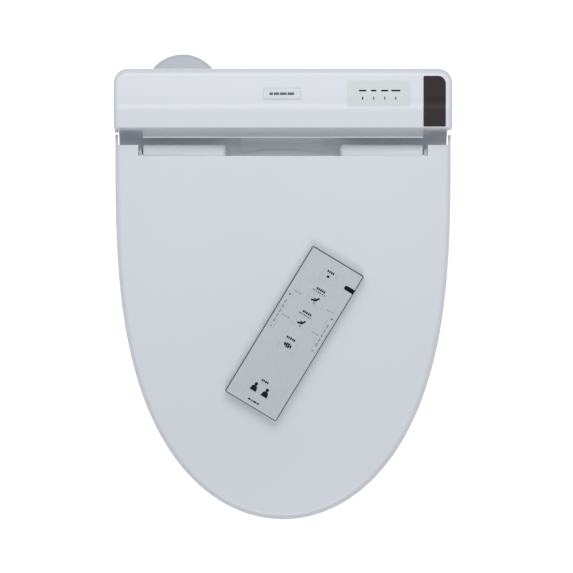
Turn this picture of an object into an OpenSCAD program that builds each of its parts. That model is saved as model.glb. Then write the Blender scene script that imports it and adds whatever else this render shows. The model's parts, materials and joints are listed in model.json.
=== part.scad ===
// Electric bidet seat for an elongated bowl: a slim main unit with the washing, heating and
// drying parts inside, a heated seat and a lid on one hinge line, and a hand remote lying on the lid.
// Millimetres. +X is the object's right seen from its front, +Y the rear, +Z up.
// The origin is midway between the two bowl bolts, on the plane of the bowl's rim.

/* [Main unit] */
// Width over the upper cover
unit_w = 387; // [384:1:394]
// Rear face, behind the bowl bolts
rear_y = 44; // [42:1:50]
// Height of the flat top above the rim
unit_h = 134; // [130:1:140]
// Radius of the rear corners seen from above
rear_corner_r = 16; // [8:1:24]
// Where the flat top starts to slope to the front
fold_y = 4; // [0:1:10]
// Front end of the sloping top
brow_y = -23.6; // [-26:0.1:-22]
// Height of the front end of the sloping top
brow_z = 122; // [118:1:126]
// Width of the lower case at its top edge
case_w = 377; // [372:1:377]
// Width of the lower case at its foot
case_foot_w = 372; // [360:1:374]
// Front face of the lower case
case_front_y = -60; // [-61:0.5:-59]
// Wall of both case halves
wall = 2.6; // [2:0.1:3]

/* [Bowl mount] */
// Distance between the two bowl bolts
bolt_pitch = 139.7; // [139:0.1:156]
// Radius of the holes for the bowl bolts
bolt_hole_r = 5.25; // [5:0.05:6]
// Thickness of the base plate
plate_t = 7; // [6:0.5:7]
// Outer radius of the water inlet's thread
inlet_r = 10.48; // [10.4:0.01:10.5]

/* [Hinge] */
// Hinge line, ahead of the bowl bolts
hinge_y = -56; // [-57:0.5:-55]
// Hinge line, above the rim
hinge_z = 70; // [68:0.5:72]
// Radius of the seat's bars and of the lid's ears
barrel_r = 13.5; // [13:0.1:14]
// Radius of the steel axles
axle_r = 5; // [4.5:0.1:5.5]
// Radial clearance of everything that turns
fit = 0.05; // [0.02:0.01:0.09]
// Inner end of a seat bar
bar_in = 65; // [60:1:70]
// Outer end of a seat bar
bar_out = 160.2; // [158:0.1:161]
// Inner end of a lid ear
ear_in = 165.7; // [165:0.1:168]

/* [Lid and seat] */
// Largest half width of the lid
lid_half_w = 192; // [188:1:194]
// Front tip of the lid, ahead of the bowl bolts
lid_tip_y = -472; // [-480:1:-460]
// Rear end of the lid's curved outline
lid_rear_y = -44; // [-48:1:-42]
// Height of the lid's top over the hinge line
lid_top_z = 90; // [89:0.5:92]
// Height of the lid's top at its tip
lid_tip_z = 56; // [54:0.5:60]
// Thickness of the lid
lid_t = 4; // [3:0.1:4]
// Gap between the seat's outline and the lid's outline
seat_inset = 6.5; // [6:0.5:9]
// Height of the seat's pads, which rest on the rim
pad_h = 10; // [8:0.5:12]
// Half width of the seat's opening
opening_half_w = 105; // [95:1:108]
// Rear end of the seat's opening
opening_rear_y = -132; // [-140:1:-130]
// Front end of the seat's opening
opening_front_y = -402; // [-406:1:-390]

/* [Nozzle] */
// Slope of the spray wand below level
wand_slope = 22; // [20:0.5:23]
// Radius of the spray wand
wand_r = 6.5; // [6:0.1:7]
// Length of the spray wand
wand_len = 136; // [130:1:137]
// Rack teeth that pass the pinion in a full stroke
stroke_teeth = 25; // [10:1:25]
// Teeth of the drive pinion
pinion_teeth = 16; // [16:1:16]

/* [Remote] */
// Width of the remote
remote_w = 68.2; // [67:0.1:70]
// Length of the remote
remote_l = 195.1; // [190:0.1:200]
// Thickness of the remote
remote_h = 15; // [14:0.5:18]
// Place of the remote's middle across the lid
remote_x = 13; // [0:0.1:20]
// Place of the remote's middle along the lid
remote_y = -257.9; // [-270:0.1:-240]
// Turn of the remote's long side from straight ahead
remote_turn = -31.2; // [-60:0.1:60]

/* [Hidden] */
$fn = 64;
eps = 0.01;
bore_r = axle_r + fit;
hub_r = 9;
split_z = hinge_z;
slope = atan((lid_top_z - lid_tip_z) / (hinge_y - lid_tip_y));

// ---- outlines: a list of [x, y, corner radius] becomes a list of points ----
function unit(v) = v / norm(v);
function at(list, i) = list[(i + len(list)) % len(list)];
function xy(p) = [p[0], p[1]];
// the arc that rounds corner b between its neighbours a and c
function corner(a, b, c, r) =
    let (u = unit(a - b), v = unit(c - b), half = acos(u * v) / 2,
         mid = b + unit(u + v) * r / sin(half), p = b + u * r / tan(half), q = b + v * r / tan(half),
         a0 = atan2(p[1] - mid[1], p[0] - mid[0]), a1 = atan2(q[1] - mid[1], q[0] - mid[0]),
         turn = (a1 - a0 + 540) % 360 - 180, steps = max(2, ceil(abs(turn) / 7.5)))
    [for (i = [0 : steps]) mid + r * [cos(a0 + turn * i / steps), sin(a0 + turn * i / steps)]];
function rounded(list) = [for (i = [0 : len(list) - 1])
    each (list[i][2] > 0
        ? corner(xy(at(list, i - 1)), xy(list[i]), xy(at(list, i + 1)), list[i][2])
        : [xy(list[i])])];
// the outline moved inwards by t; it runs anticlockwise and every side is straight
function inset(list, t) = [for (i = [0 : len(list) - 1])
    let (a = xy(at(list, i - 1)), b = xy(list[i]), c = xy(at(list, i + 1)),
         u = unit(b - a), v = unit(c - b), n = [-u[1], u[0]], m = [-v[1], v[0]])
    [each (b + (n + m) * t / (1 + n * m)), max(list[i][2] - t, 0)]];
function box_outline(x0, y0, x1, y1, r) = [[x0, y0, r], [x1, y0, r], [x1, y1, r], [x0, y1, r]];

// ---- small helpers ----
module block(lo, hi) { translate(lo) cube(hi - lo); }
// a side view outline, [y, z], drawn out along X
module along_x(x0, x1) { rotate([90, 0, 90]) translate([0, 0, x0]) linear_extrude(x1 - x0) children(); }
// a plan outline, [x, y], drawn up along Z
module along_z(z0, z1) { translate([0, 0, z0]) linear_extrude(z1 - z0) children(); }
module rod_x(x0, x1, y, z, r) { translate([x0, y, z]) rotate([0, 90, 0]) cylinder(h = x1 - x0, r = r); }
module rod_y(y0, y1, x, z, r) { translate([x, y0, z]) rotate([-90, 0, 0]) cylinder(h = y1 - y0, r = r); }
module rod_z(z0, z1, x, y, r) { translate([x, y, z0]) cylinder(h = z1 - z0, r = r); }
module pad(x0, y0, x1, y1, z0, z1, r) { along_z(z0, z1) polygon(rounded(box_outline(x0, y0, x1, y1, r))); }
module both_sides() { children(); mirror([1, 0, 0]) children(); }
module hinge_rod(x0, x1, r) { rod_x(x0, x1, hinge_y, hinge_z, r); }

// ================= main unit: shells =================
recess_x = bar_out + 0.4;          // the hinge recess is deeper outside this half width
trough_r = 24;                     // hollow round the hinge line, clear of the lid's rear edge
deep_trough_r = 30;                // the same outside recess_x, clear of the lid's cheeks
wall_foot_y = hinge_y + 22.5;      // foot of the unit's front wall
deep_wall_y = brow_y - 2.4;        // front wall outside recess_x

// side view of the upper cover, anticlockwise in [y, z]
cover_side = [[wall_foot_y, split_z, 0], [rear_y, split_z, 0], [rear_y, unit_h, 8],
    [fold_y, unit_h, 40], [brow_y, brow_z, 2.5]];
cover_plan = [[-unit_w / 2, wall_foot_y - 1, 0], [unit_w / 2, wall_foot_y - 1, 0],
    [unit_w / 2, rear_y, rear_corner_r], [-unit_w / 2, rear_y, rear_corner_r]];

module cover_solid(t) {
    intersection() {
        along_x(-unit_w / 2, unit_w / 2) polygon(rounded(inset(cover_side, t)));
        along_z(split_z - 1, unit_h + 1) polygon(rounded(inset(cover_plan, t)));
    }
}
// a skin that follows the cover's top, from depth t0 down to depth t1, inside a plan outline
module cover_skin(outline, t0, t1) {
    intersection() {
        along_z(split_z + 20, unit_h + 1) polygon(rounded(outline));
        difference() {
            along_x(-unit_w / 2, unit_w / 2) polygon(rounded(inset(cover_side, t0)));
            along_x(-unit_w, unit_w) polygon(rounded(inset(cover_side, t1)));
        }
    }
}
// the corners where the front wall stands further back
module deep_corners(y, x_in) {
    both_sides() block([x_in, hinge_y, split_z - 2], [unit_w, y, unit_h]);
}

window_outline = [[160.6, -22.1, 1.4], [185.9, -22.1, 1.4], [185.9, 35.5, 9], [160.6, 35.5, 1.4]];
panel_outline = box_outline(73.5, 1, 145.1, 30, 1.2);
badge_outline = box_outline(-22.2, 8.5, 20.4, 21.7, 1);
window_t = 1.6;
label_t = 0.5;
power_button_y = 20;
power_button_z = 100;

module upper_cover() {
    color([0.86, 0.86, 0.89]) difference() {
        cover_solid(0);
        deep_corners(deep_wall_y, recess_x);
        difference() {
            translate([0, 0, -eps]) cover_solid(wall);
            deep_corners(deep_wall_y + wall, recess_x - wall);
        }
        difference() {
            along_z(split_z - 1, split_z + 8) polygon(rounded(inset(cover_plan, wall)));
            block([-unit_w, hinge_y, split_z - 2], [unit_w, wall_foot_y + wall, split_z + 9]);
            deep_corners(deep_wall_y + wall, recess_x - wall);
        }
        cover_skin(window_outline, -1, window_t);
        cover_skin(panel_outline, -1, label_t);
        cover_skin(badge_outline, -1, label_t);
        // sight hole below the sensor window
        pad(164, -16, 182, 28, 112, unit_h, 3);
        for (i = [0 : 3]) rod_z(120, unit_h, led_x(i), led_y, 2.2);
        rod_x(unit_w / 2 - 5, unit_w / 2 + 1, power_button_y, power_button_z, 7.3);
    }
}

module sensor_window() { color([0.25, 0.21, 0.21]) cover_skin(window_outline, 0, window_t); }
module indicator_panel() { color([0.83, 0.84, 0.84]) cover_skin(panel_outline, 0, label_t); }
module badge_plate() { color([0.72, 0.73, 0.75]) cover_skin(badge_outline, 0, label_t); }

// side view of the lower case before the hinge recess is hollowed out
case_side = [[case_front_y, plate_t, 4], [rear_y, plate_t, 8], [rear_y, split_z, 0], [case_front_y, split_z, 0]];
case_plan = [[-case_w / 2, case_front_y, 6], [case_w / 2, case_front_y, 6],
    [case_w / 2, rear_y, rear_corner_r], [-case_w / 2, rear_y, rear_corner_r]];
case_front_view = [[-case_foot_w / 2, plate_t, 6], [case_foot_w / 2, plate_t, 6],
    [case_w / 2, split_z, 0], [-case_w / 2, split_z, 0]];

module case_solid(t) {
    intersection() {
        along_x(-case_w, case_w) polygon(rounded(inset(case_side, t)));
        along_z(0, split_z + 1) polygon(rounded(inset(case_plan, t)));
        translate([0, rear_y + 10, 0]) rotate([90, 0, 0]) linear_extrude(120)
            polygon(rounded(inset(case_front_view, t)));
    }
}
// the hollow round the hinge line, with t more radius all round
module hinge_recess(t) {
    hinge_rod(-recess_x - t, recess_x + t, trough_r + t);
    both_sides() hinge_rod(recess_x - t, unit_w, deep_trough_r + t);
}
hump_half_w = 48;
bracket_in = 161.6;
bracket_out = 165.2;
bracket_r = 8.4;

// arms that hold the axles, one in the slit beside each seat bar
module brackets() {
    both_sides() difference() {
        union() {
            hinge_rod(bracket_in, bracket_out, bracket_r);
            block([bracket_in, case_front_y, hinge_z - deep_trough_r - 1.5],
                [bracket_out, hinge_y + bracket_r, hinge_z]);
        }
        hinge_rod(bracket_in - 1, bracket_out + 1, axle_r);
    }
}
// low rise in the middle of the recess, over the nozzle; its front edge is an arc
module hump() {
    intersection() {
        difference() {
            block([-hump_half_w, hinge_y, 40], [hump_half_w, wall_foot_y, split_z]);
            hinge_rod(-hump_half_w - 1, hump_half_w + 1, trough_r - 3);
            rod_z(0, 100, 0, hinge_y - 236, 245);
        }
        hinge_rod(-hump_half_w, hump_half_w, trough_r + 1);
    }
}
// thin lip of the case along the foot of the cover's front wall, beside the hump
module front_lip() {
    both_sides() block([hump_half_w, wall_foot_y - 1.2, split_z - 1.6], [recess_x, wall_foot_y + 3, split_z]);
}
// way out for the wand and for the dryer's air through the case's front face
module front_ways() {
    wand_frame() block([-15, -30, -20], [15, 52, 8.4]);
    block([dryer_x0 - 0.5, case_front_y - 1, 12], [dryer_x1 + 0.5, case_front_y + 12, 31]);
}
module lower_case() {
    color([0.82, 0.83, 0.86]) union() {
        difference() {
            case_solid(0);
            hinge_recess(0);
            difference() {
                translate([0, 0, eps]) case_solid(wall);
                hinge_recess(wall);
            }
            difference() {
                along_z(split_z - 8, split_z + 1) polygon(rounded(inset(case_plan, wall + 1.5)));
                hinge_recess(wall);
            }
            front_ways();
            // ways for the inlet, the filter, the cartridge, the release button and the cord
            rod_x(-unit_w / 2, -case_foot_w / 2 + 8, inlet_y, inlet_z, 16);
            rod_x(-unit_w / 2, -case_foot_w / 2 + 8, filter_y, filter_z, 10.5);
            block([case_foot_w / 2 - 8, cartridge_y0 - 0.5, cartridge_z0 - 0.5],
                [unit_w / 2, cartridge_y1 + 0.5, cartridge_z1 + 0.5]);
            release_shape(case_foot_w / 2 - 8, unit_w, 0.3);
            rod_x(case_foot_w / 2 - 8, unit_w / 2, gland_y, gland_z, 7);
            // opening into the bulge behind the rear face
            block([bulge_x - 28, rear_y - wall - 1, 14], [bulge_x + 28, rear_y + 1, 56]);
            for (p = screw_places) rod_z(0, plate_t + wall + 1, p[0], p[1], 2.2);
        }
        brackets();
        hump();
        front_lip();
    }
}

bulge_x = -115;
bulge_y = 17;
bulge_r = 44;
bulge_top = 64;
module bulge_solid(t) {
    difference() {
        union() {
            rod_z(12 + t, bulge_top - 6, bulge_x, bulge_y, bulge_r - t);
            translate([bulge_x, bulge_y, bulge_top - 6]) rotate_extrude($fn = 96)
                intersection() {
                    union() {
                        square([bulge_r - 6, 6 - t]);
                        translate([bulge_r - 6, 0]) circle(r = 6 - t);
                    }
                    square([bulge_r, 6]);
                }
        }
        block([-unit_w, -60, 0], [unit_w, rear_y + (t > 0 ? -1 : 0), 100]);
    }
}
module inlet_cover() {
    color([0.75, 0.75, 0.79]) difference() {
        bulge_solid(0);
        bulge_solid(2.4);
    }
}

// hood over the wand's way out, below the seat's rear bridge
nose_x0 = -30;
nose_x1 = 56;
nose_front_y = -94;
nose_side = [[nose_front_y + 6, 11, 3], [case_front_y, 11, 0], [case_front_y, 45, 0], [nose_front_y + 8, 40, 6],
    [nose_front_y, 30, 3]];
module nozzle_cover() {
    color([0.8, 0.81, 0.84]) difference() {
        along_x(nose_x0, nose_x1) polygon(rounded(nose_side));
        along_x(nose_x0 + 2, nose_x1 - 2) polygon(rounded([for (p = inset(nose_side, 2))
            p[0] > case_front_y - 3 ? [case_front_y + 1, p[1], 0] : p]));
        wand_frame() block([-9, -40, -15], [9, 40, 9]);
        block([dryer_x0 - 0.5, nose_front_y - 1, 12], [dryer_x1 + 0.5, nose_front_y + 12, 31]);
    }
}

// ================= base plate =================
plate_half_w = 112;
module base_plate() {
    color([0.55, 0.56, 0.58]) difference() {
        pad(-plate_half_w, -34, plate_half_w, 38, 0, plate_t, 8);
        for (s = [-1, 1]) {
            rod_z(-1, plate_t + 1, s * bolt_pitch / 2, 0, bolt_hole_r);
            rod_z(plate_t - 3, plate_t + 1, s * bolt_pitch / 2, 0, 11);
        }
        pad(-40, -22, 40, 26, plate_t - 3, plate_t + 1, 5);
    }
}
screw_places = [for (x = [-150, 150], y = [-30, 30]) [x, y]];
module case_screws() {
    color([0.62, 0.62, 0.64]) for (p = screw_places) {
        rod_z(plate_t - 2.4, plate_t, p[0], p[1], 4);
        rod_z(plate_t - eps, plate_t + 5.8, p[0], p[1], 2);
    }
}

// ================= buttons, light guides and cord gland on the unit =================
led_y = 9.6;
function led_x(i) = 91 + 12.6 * i;
module led_guides() {
    color([0.85, 0.9, 0.85]) for (i = [0 : 3]) rod_z(119, unit_h - 0.9, led_x(i), led_y, 2);
}
module power_button() {
    color([0.8, 0.81, 0.84]) difference() {
        rod_x(unit_w / 2 - 8, unit_w / 2, power_button_y, power_button_z, 7);
        rod_x(unit_w / 2 - 0.6, unit_w / 2 + 1, power_button_y, power_button_z, 4.5);
    }
}
release_y = 22;
release_z = 26;
module release_shape(x0, x1, t) {
    along_x(x0, x1) polygon(rounded(box_outline(release_y - 15 - t, release_z - 8 - t,
        release_y + 15 + t, release_z + 8 + t, 5)));
}
module release_button() { color([0.7, 0.71, 0.74]) release_shape(168, 188, 0); }

gland_y = 20;
gland_z = 56;
// cord gland in the side wall, below the cover's overhang
module cord_gland() {
    color([0.78, 0.78, 0.8]) difference() {
        union() {
            rod_x(178, 184.9, gland_y, gland_z, 9);
            rod_x(184.8, 188.5, gland_y, gland_z, 6.9);
            rod_x(188.4, 190.2, gland_y, gland_z, 9);
            translate([190.2, gland_y, gland_z]) rotate([0, 90, 0]) cylinder(h = 3, r1 = 7, r2 = 5.6);
        }
        rod_x(177, 194, gland_y, gland_z, 3.6);
    }
}

// ================= water path =================
inlet_y = 14;
inlet_z = 30;
filter_y = -16;
filter_z = 44;
drum_r = 36;
module inlet_spigot() {
    color([0.8, 0.65, 0.35]) difference() {
        union() {
            rod_x(-192, -176, inlet_y, inlet_z, inlet_r);
            translate([-171, inlet_y, inlet_z]) rotate([0, -90, 0]) cylinder(h = 5, r = 15, $fn = 6);
            rod_x(-171, bulge_x - drum_r + 0.5, inlet_y, inlet_z, 8);
        }
        rod_x(-193, bulge_x - drum_r - 1, inlet_y, inlet_z, 5.5);
    }
}
// drum with the shut-off valve, its coil on top and the socket of the water filter on its side
module valve_unit() {
    color([0.3, 0.32, 0.36]) difference() {
        union() {
            rod_z(15, 54, bulge_x, bulge_y, drum_r);
            rod_z(54, 62, bulge_x, bulge_y - 2, 26);
            rod_z(62, 92, bulge_x, bulge_y - 4, 15);
            rod_z(92, 95, bulge_x, bulge_y - 4, 8);
            rod_x(-174, bulge_x - 20, filter_y, filter_z, 12);
        }
        rod_x(bulge_x - drum_r - 1, bulge_x - 20, inlet_y, inlet_z, 8);
        rod_x(-175, bulge_x - 24, filter_y, filter_z, 9.5 + fit);
    }
}
module water_filter() {
    color([0.35, 0.5, 0.65]) difference() {
        union() {
            rod_x(-173, bulge_x - 30, filter_y, filter_z, 9.5);
            rod_x(-190.4, -173, filter_y, filter_z, 5);
        }
        rod_x(-168, bulge_x - 29, filter_y, filter_z, 7.5);
    }
}
// cap of the filter outside the wall, with a slot for a coin
module filter_knob() {
    color([0.75, 0.76, 0.79]) difference() {
        rod_x(-192.8, -188.8, filter_y, filter_z, 12.5);
        rod_x(-190.5, -188, filter_y, filter_z, 5 + fit);
        block([-194, filter_y - 9, filter_z - 1.1], [-191.4, filter_y + 9, filter_z + 1.1]);
    }
}
module wash_pump() {
    color([0.45, 0.46, 0.5]) {
        rod_y(-24, 10, -46, 28, 13);
        rod_y(-30, -24, -46, 28, 6);
        rod_y(10, 14, -46, 28, 8);
    }
}
module water_heater() {
    color([0.82, 0.74, 0.55]) {
        pad(-96, -22, -34, 34, 76, 116, 5);
        rod_z(70, 76, -46, 20, 5);
        rod_z(70, 76, -66, 26, 5);
    }
}
// each pipe runs through its points; elbows are balls
module pipe(points, r) {
    for (i = [0 : len(points) - 2]) let (a = points[i], d = points[i + 1] - a)
        translate(a) rotate([0, acos(d[2] / norm(d)), atan2(d[1], d[0])]) cylinder(h = norm(d), r = r);
    for (i = [1 : len(points) - 2]) translate(points[i]) sphere(r = r, $fn = 32);
}
module water_pipes() {
    color([0.75, 0.78, 0.8]) {
        pipe([[bulge_x + drum_r, 26, 26], [-66, 26, 26], [-66, 26, 70]], 3.5);
        pipe([[-46, 20, 70], [-46, 20, 28], [-46, 14, 28]], 3.5);
        pipe([[-46, -30, 28], [-46, -36, 28], [-20, -36, 28]], 3.5);
    }
}

// ================= spray nozzle =================
nozzle_tip_y = -92;
nozzle_tip_z = 19;
module_size = 1;                       // gear module of the rack drive
pitch_r = pinion_teeth * module_size / 2;
tooth_pitch = PI * module_size;
rack_pitch_z = -8.6;                   // pitch line of the rack below the wand's axis
pinion_at = 50;                        // pinion's place along the wand, from the tip
module wand_frame() { translate([0, nozzle_tip_y, nozzle_tip_z]) rotate([wand_slope, 0, 0]) children(); }

module nozzle_wand() {
    color([0.88, 0.89, 0.9]) wand_frame() difference() {
        rod_y(10, wand_len, 0, 0, wand_r);
        block([-4, 16, -10], [4, wand_len + 1, -4.5]);
        rod_y(9, 40, 0, 1, 2);
    }
}
module nozzle_tip() {
    color([0.8, 0.82, 0.84]) wand_frame() difference() {
        union() {
            rod_y(0, 10, 0, 0, wand_r);
            rod_y(10, 20, 0, 1, 2);
        }
        for (x = [-2, 0, 2]) rod_z(2, 8, x, 5, 0.6);
    }
}
// one straight-sided tooth, standing on the line y = 0
module tooth(foot, tip, h) { polygon([[-foot / 2, -0.4], [foot / 2, -0.4], [tip / 2, h], [-tip / 2, h]]); }
module nozzle_rack() {
    color([0.3, 0.3, 0.33]) wand_frame() union() {
        block([-3, 20, rack_pitch_z + 1.25], [3, wand_len - 1, -4.5]);
        for (i = [-9 : stroke_teeth]) let (y = pinion_at + (i + 0.5) * tooth_pitch)
            if (y > 21.5 && y < wand_len - 2.5)
                translate([-3, y, rack_pitch_z + 1.25]) rotate([-90, 0, 90]) mirror([0, 0, 1])
                    linear_extrude(6) tooth(2.1, 0.8, 2.2);
    }
}
pinion_z = rack_pitch_z - pitch_r;
module drive_pinion() {
    color([0.85, 0.83, 0.75]) wand_frame() translate([-2.6, pinion_at, pinion_z]) rotate([90, 0, 90]) {
        linear_extrude(5.2) {
            circle(r = pitch_r - 1.25);
            for (i = [0 : pinion_teeth - 1]) rotate(90 + i * 360 / pinion_teeth)
                translate([pitch_r - 1.25, 0]) rotate(-90) tooth(2.0, 0.8, 2.15);
        }
        translate([0, 0, 5.2]) cylinder(h = 9.8, r = 2);
    }
}
module stepper_motor() {
    color([0.5, 0.5, 0.52]) wand_frame() translate([6, pinion_at, pinion_z]) rotate([90, 0, 90]) difference() {
        union() {
            cylinder(h = 17, r = 9);
            cylinder(h = 1, r = 9.6);
        }
        translate([0, 0, -1]) cylinder(h = 12, r = 2 + fit);
    }
}
module nozzle_guide() {
    color([0.35, 0.37, 0.4]) wand_frame() difference() {
        block([-11, 61, -10.5], [11, wand_len - 6, 8]);
        rod_y(60, wand_len, 0, 0, wand_r + fit);
        block([-3.4, 60, -11], [3.4, wand_len, 0]);
    }
}

// ================= warm air dryer =================
dryer_x0 = 26;
dryer_x1 = 50;
blower_y = 10;
blower_z = 44;
module blower_housing() {
    color([0.3, 0.31, 0.34]) difference() {
        union() {
            rod_x(38, 66, blower_y, blower_z, 28);
            block([38, -24, 17], [66, 10, 40]);
        }
        rod_x(40, 64, blower_y, blower_z, 26);
        block([40, -25, 19], [64, 10, 38]);
        rod_x(37, 41, blower_y, blower_z, 16);
        rod_x(63, 67, blower_y, blower_z, 4);
    }
}
module blower_impeller() {
    color([0.15, 0.15, 0.17]) difference() {
        union() {
            rod_x(61, 62.5, blower_y, blower_z, 22);
            rod_x(42, 43.5, blower_y, blower_z, 22);
            rod_x(52, 62.5, blower_y, blower_z, 6);
            for (i = [0 : 19]) translate([43, blower_y, blower_z]) rotate([i * 18, 0, 0])
                translate([0, 16, 0]) rotate([20, 0, 0]) cube([18.5, 5, 1]);
            rod_x(62.5, 70, blower_y, blower_z, 2);
        }
        rod_x(41, 51, blower_y, blower_z, 15);
    }
}
module blower_motor() {
    color([0.5, 0.5, 0.53]) difference() {
        union() {
            rod_x(66, 70, blower_y, blower_z, 17);
            rod_x(70, 90, blower_y, blower_z, 14);
        }
        rod_x(65, 72, blower_y, blower_z, 2 + fit);
    }
}
duct_z0 = 13;
duct_z1 = 30;
duct_front_y = nose_front_y + 9;
module dryer_duct() {
    color([0.25, 0.26, 0.28]) difference() {
        union() {
            block([dryer_x0, duct_front_y, duct_z0], [dryer_x1, -24, duct_z1]);
            block([dryer_x0, -36, duct_z0], [66, -24, 38]);
        }
        block([dryer_x0 + 1.6, duct_front_y - 1, duct_z0 + 1.6], [dryer_x1 - 1.6, -26, duct_z1 - 1.6]);
        block([40, -34.4, 18], [64, -23, 36.4]);
    }
}
flap_pin_y = duct_front_y - 2.2;
flap_pin_z = duct_z1 - 1.6;
module dryer_flap() {
    color([0.7, 0.71, 0.74]) {
        rod_x(dryer_x0 + 0.4, dryer_x1 - 0.4, flap_pin_y, flap_pin_z, 1.6);
        block([dryer_x0 + 0.6, flap_pin_y - 0.8, duct_z0 + 0.6], [dryer_x1 - 0.6, flap_pin_y + 0.8, flap_pin_z]);
    }
}

// ================= deodorizer =================
cartridge_y0 = -36;
cartridge_y1 = -2;
cartridge_z0 = 16;
cartridge_z1 = 40;
cartridge_x0 = 140;
cartridge_x1 = 186;
deo_y = (cartridge_y0 + cartridge_y1) / 2;
deo_z = (cartridge_z0 + cartridge_z1) / 2;
module deodorizer_cartridge() {
    color([0.4, 0.42, 0.45]) difference() {
        block([cartridge_x0, cartridge_y0, cartridge_z0], [cartridge_x1, cartridge_y1, cartridge_z1]);
        for (i = [0 : 4], j = [0 : 2]) let (y = cartridge_y0 + 4 + 5.4 * i, z = cartridge_z0 + 3.5 + 6.8 * j)
            block([cartridge_x0 - 1, y, z], [cartridge_x1 - 5, y + 4.2, z + 5.4]);
        rod_y(cartridge_y0 - 1, cartridge_y1 + 1, cartridge_x1 + 5, deo_z, 7.6);
    }
}
module deodorizer_housing() {
    color([0.28, 0.29, 0.32]) difference() {
        union() {
            block([112, cartridge_y0 - 2, cartridge_z0 - 2], [138, cartridge_y1 + 2, cartridge_z1 + 2]);
            block([138, cartridge_y0 - 2, cartridge_z0 - 2], [170, cartridge_y1 + 2, cartridge_z1 + 2]);
        }
        block([138, cartridge_y0 - 0.4, cartridge_z0 - 0.4], [171, cartridge_y1 + 0.4, cartridge_z1 + 0.4]);
        rod_x(114, 139, deo_y, deo_z, 12.5);
        rod_x(111, 115, deo_y, deo_z, 2 + fit);
    }
}
module deodorizer_fan() {
    color([0.15, 0.15, 0.17]) {
        rod_x(112.5, 130, deo_y, deo_z, 2);
        rod_x(118, 130, deo_y, deo_z, 5);
        for (i = [0 : 6]) translate([0, deo_y, deo_z]) rotate([i * 360 / 7, 0, 0])
            translate([119, 0, 4]) rotate([0, 0, 35]) block([0, -0.6, 0], [12, 0.6, 5.5]);
    }
}

// ================= electronics =================
module control_board() {
    color([0.1, 0.35, 0.2]) {
        block([72, -8, 106], [182, 34, 107.6]);
        block([80, 14, 107.6], [96, 30, 111]);
        block([110, 16, 107.6], [120, 26, 110]);
        block([165, -4, 107.6], [181, 24, 111]);
        for (i = [0 : 3]) block([led_x(i) - 2, led_y - 2, 107.6], [led_x(i) + 2, led_y + 2, 118.8]);
    }
}
module power_supply() {
    color([0.12, 0.3, 0.4]) {
        block([96, 8, 52], [170, 38, 53.6]);
        block([104, 12, 53.6], [130, 34, 74]);
        rod_z(53.6, 78, 142, 24, 9);
        block([154, 12, 53.6], [166, 34, 66]);
    }
}

// ================= seat =================
seat_rear_y = hinge_y - 16;
seat_rear_z = 74;
function seat_top_z(y) = seat_rear_z + (y - hinge_y) * tan(slope);
function lid_z(y) = lid_top_z + (y - hinge_y) * tan(slope);
// half width of the outline t inside the lid's, at share u of its length from the rear
function half_width(u, t) = (lid_half_w - t) * sqrt(max(0, 1 - u * u * u));
outline_steps = 36;
// right half of the outline from the tip to the rear; the steps close up towards the tip
function right_half(t, y_end) = let (tip = lid_tip_y + t, long = lid_rear_y - tip)
    [for (i = [0 : outline_steps]) let (s = i / outline_steps, u = 1 - s * s, y = lid_rear_y - u * long)
        if (y < y_end) [half_width(u, t), y]];
function closed(half, y_end) = let (n = len(half), w = half[n - 1][0])
    concat(half, [[w, y_end], [-w, y_end]], [for (i = [n - 1 : -1 : 1]) [-half[i][0], half[i][1]]]);
module lid_outline(t, y_end) { polygon(closed(right_half(t, y_end), y_end)); }

opening_steps = 72;
module opening_outline(t) {
    mid = (opening_rear_y + opening_front_y) / 2;
    long = (opening_rear_y - opening_front_y) / 2 + t;
    wide = opening_half_w + t;
    // an egg: the widest place lies a little behind the middle
    polygon([for (i = [0 : opening_steps - 1]) let (a = i * 360 / opening_steps)
        [wide * cos(a) * (1 + 0.07 * sin(a)), mid + long * sin(a)]]);
}
seat_floor_z = pad_h;
bridge_z = 50;                          // underside of the rear bridge
module seat_solid(t) {
    difference() {
        intersection() {
            along_z(0, 100) difference() {
                lid_outline(seat_inset + t, seat_rear_y - t);
                opening_outline(t);
            }
            along_x(-200, 200) polygon([[lid_tip_y, seat_floor_z + t], [seat_rear_y, seat_floor_z + t],
                [seat_rear_y, seat_top_z(seat_rear_y) - t], [lid_tip_y, seat_top_z(lid_tip_y) - t]]);
        }
        // way under the rear bridge for the nozzle's hood and the wand
        block([nose_x0 - 6 - t, opening_rear_y - 20, 0], [nose_x1 + 6 + t, 0, bridge_z + t]);
    }
}
seat_wall = 3;
seat_joint_z = 20;
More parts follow.
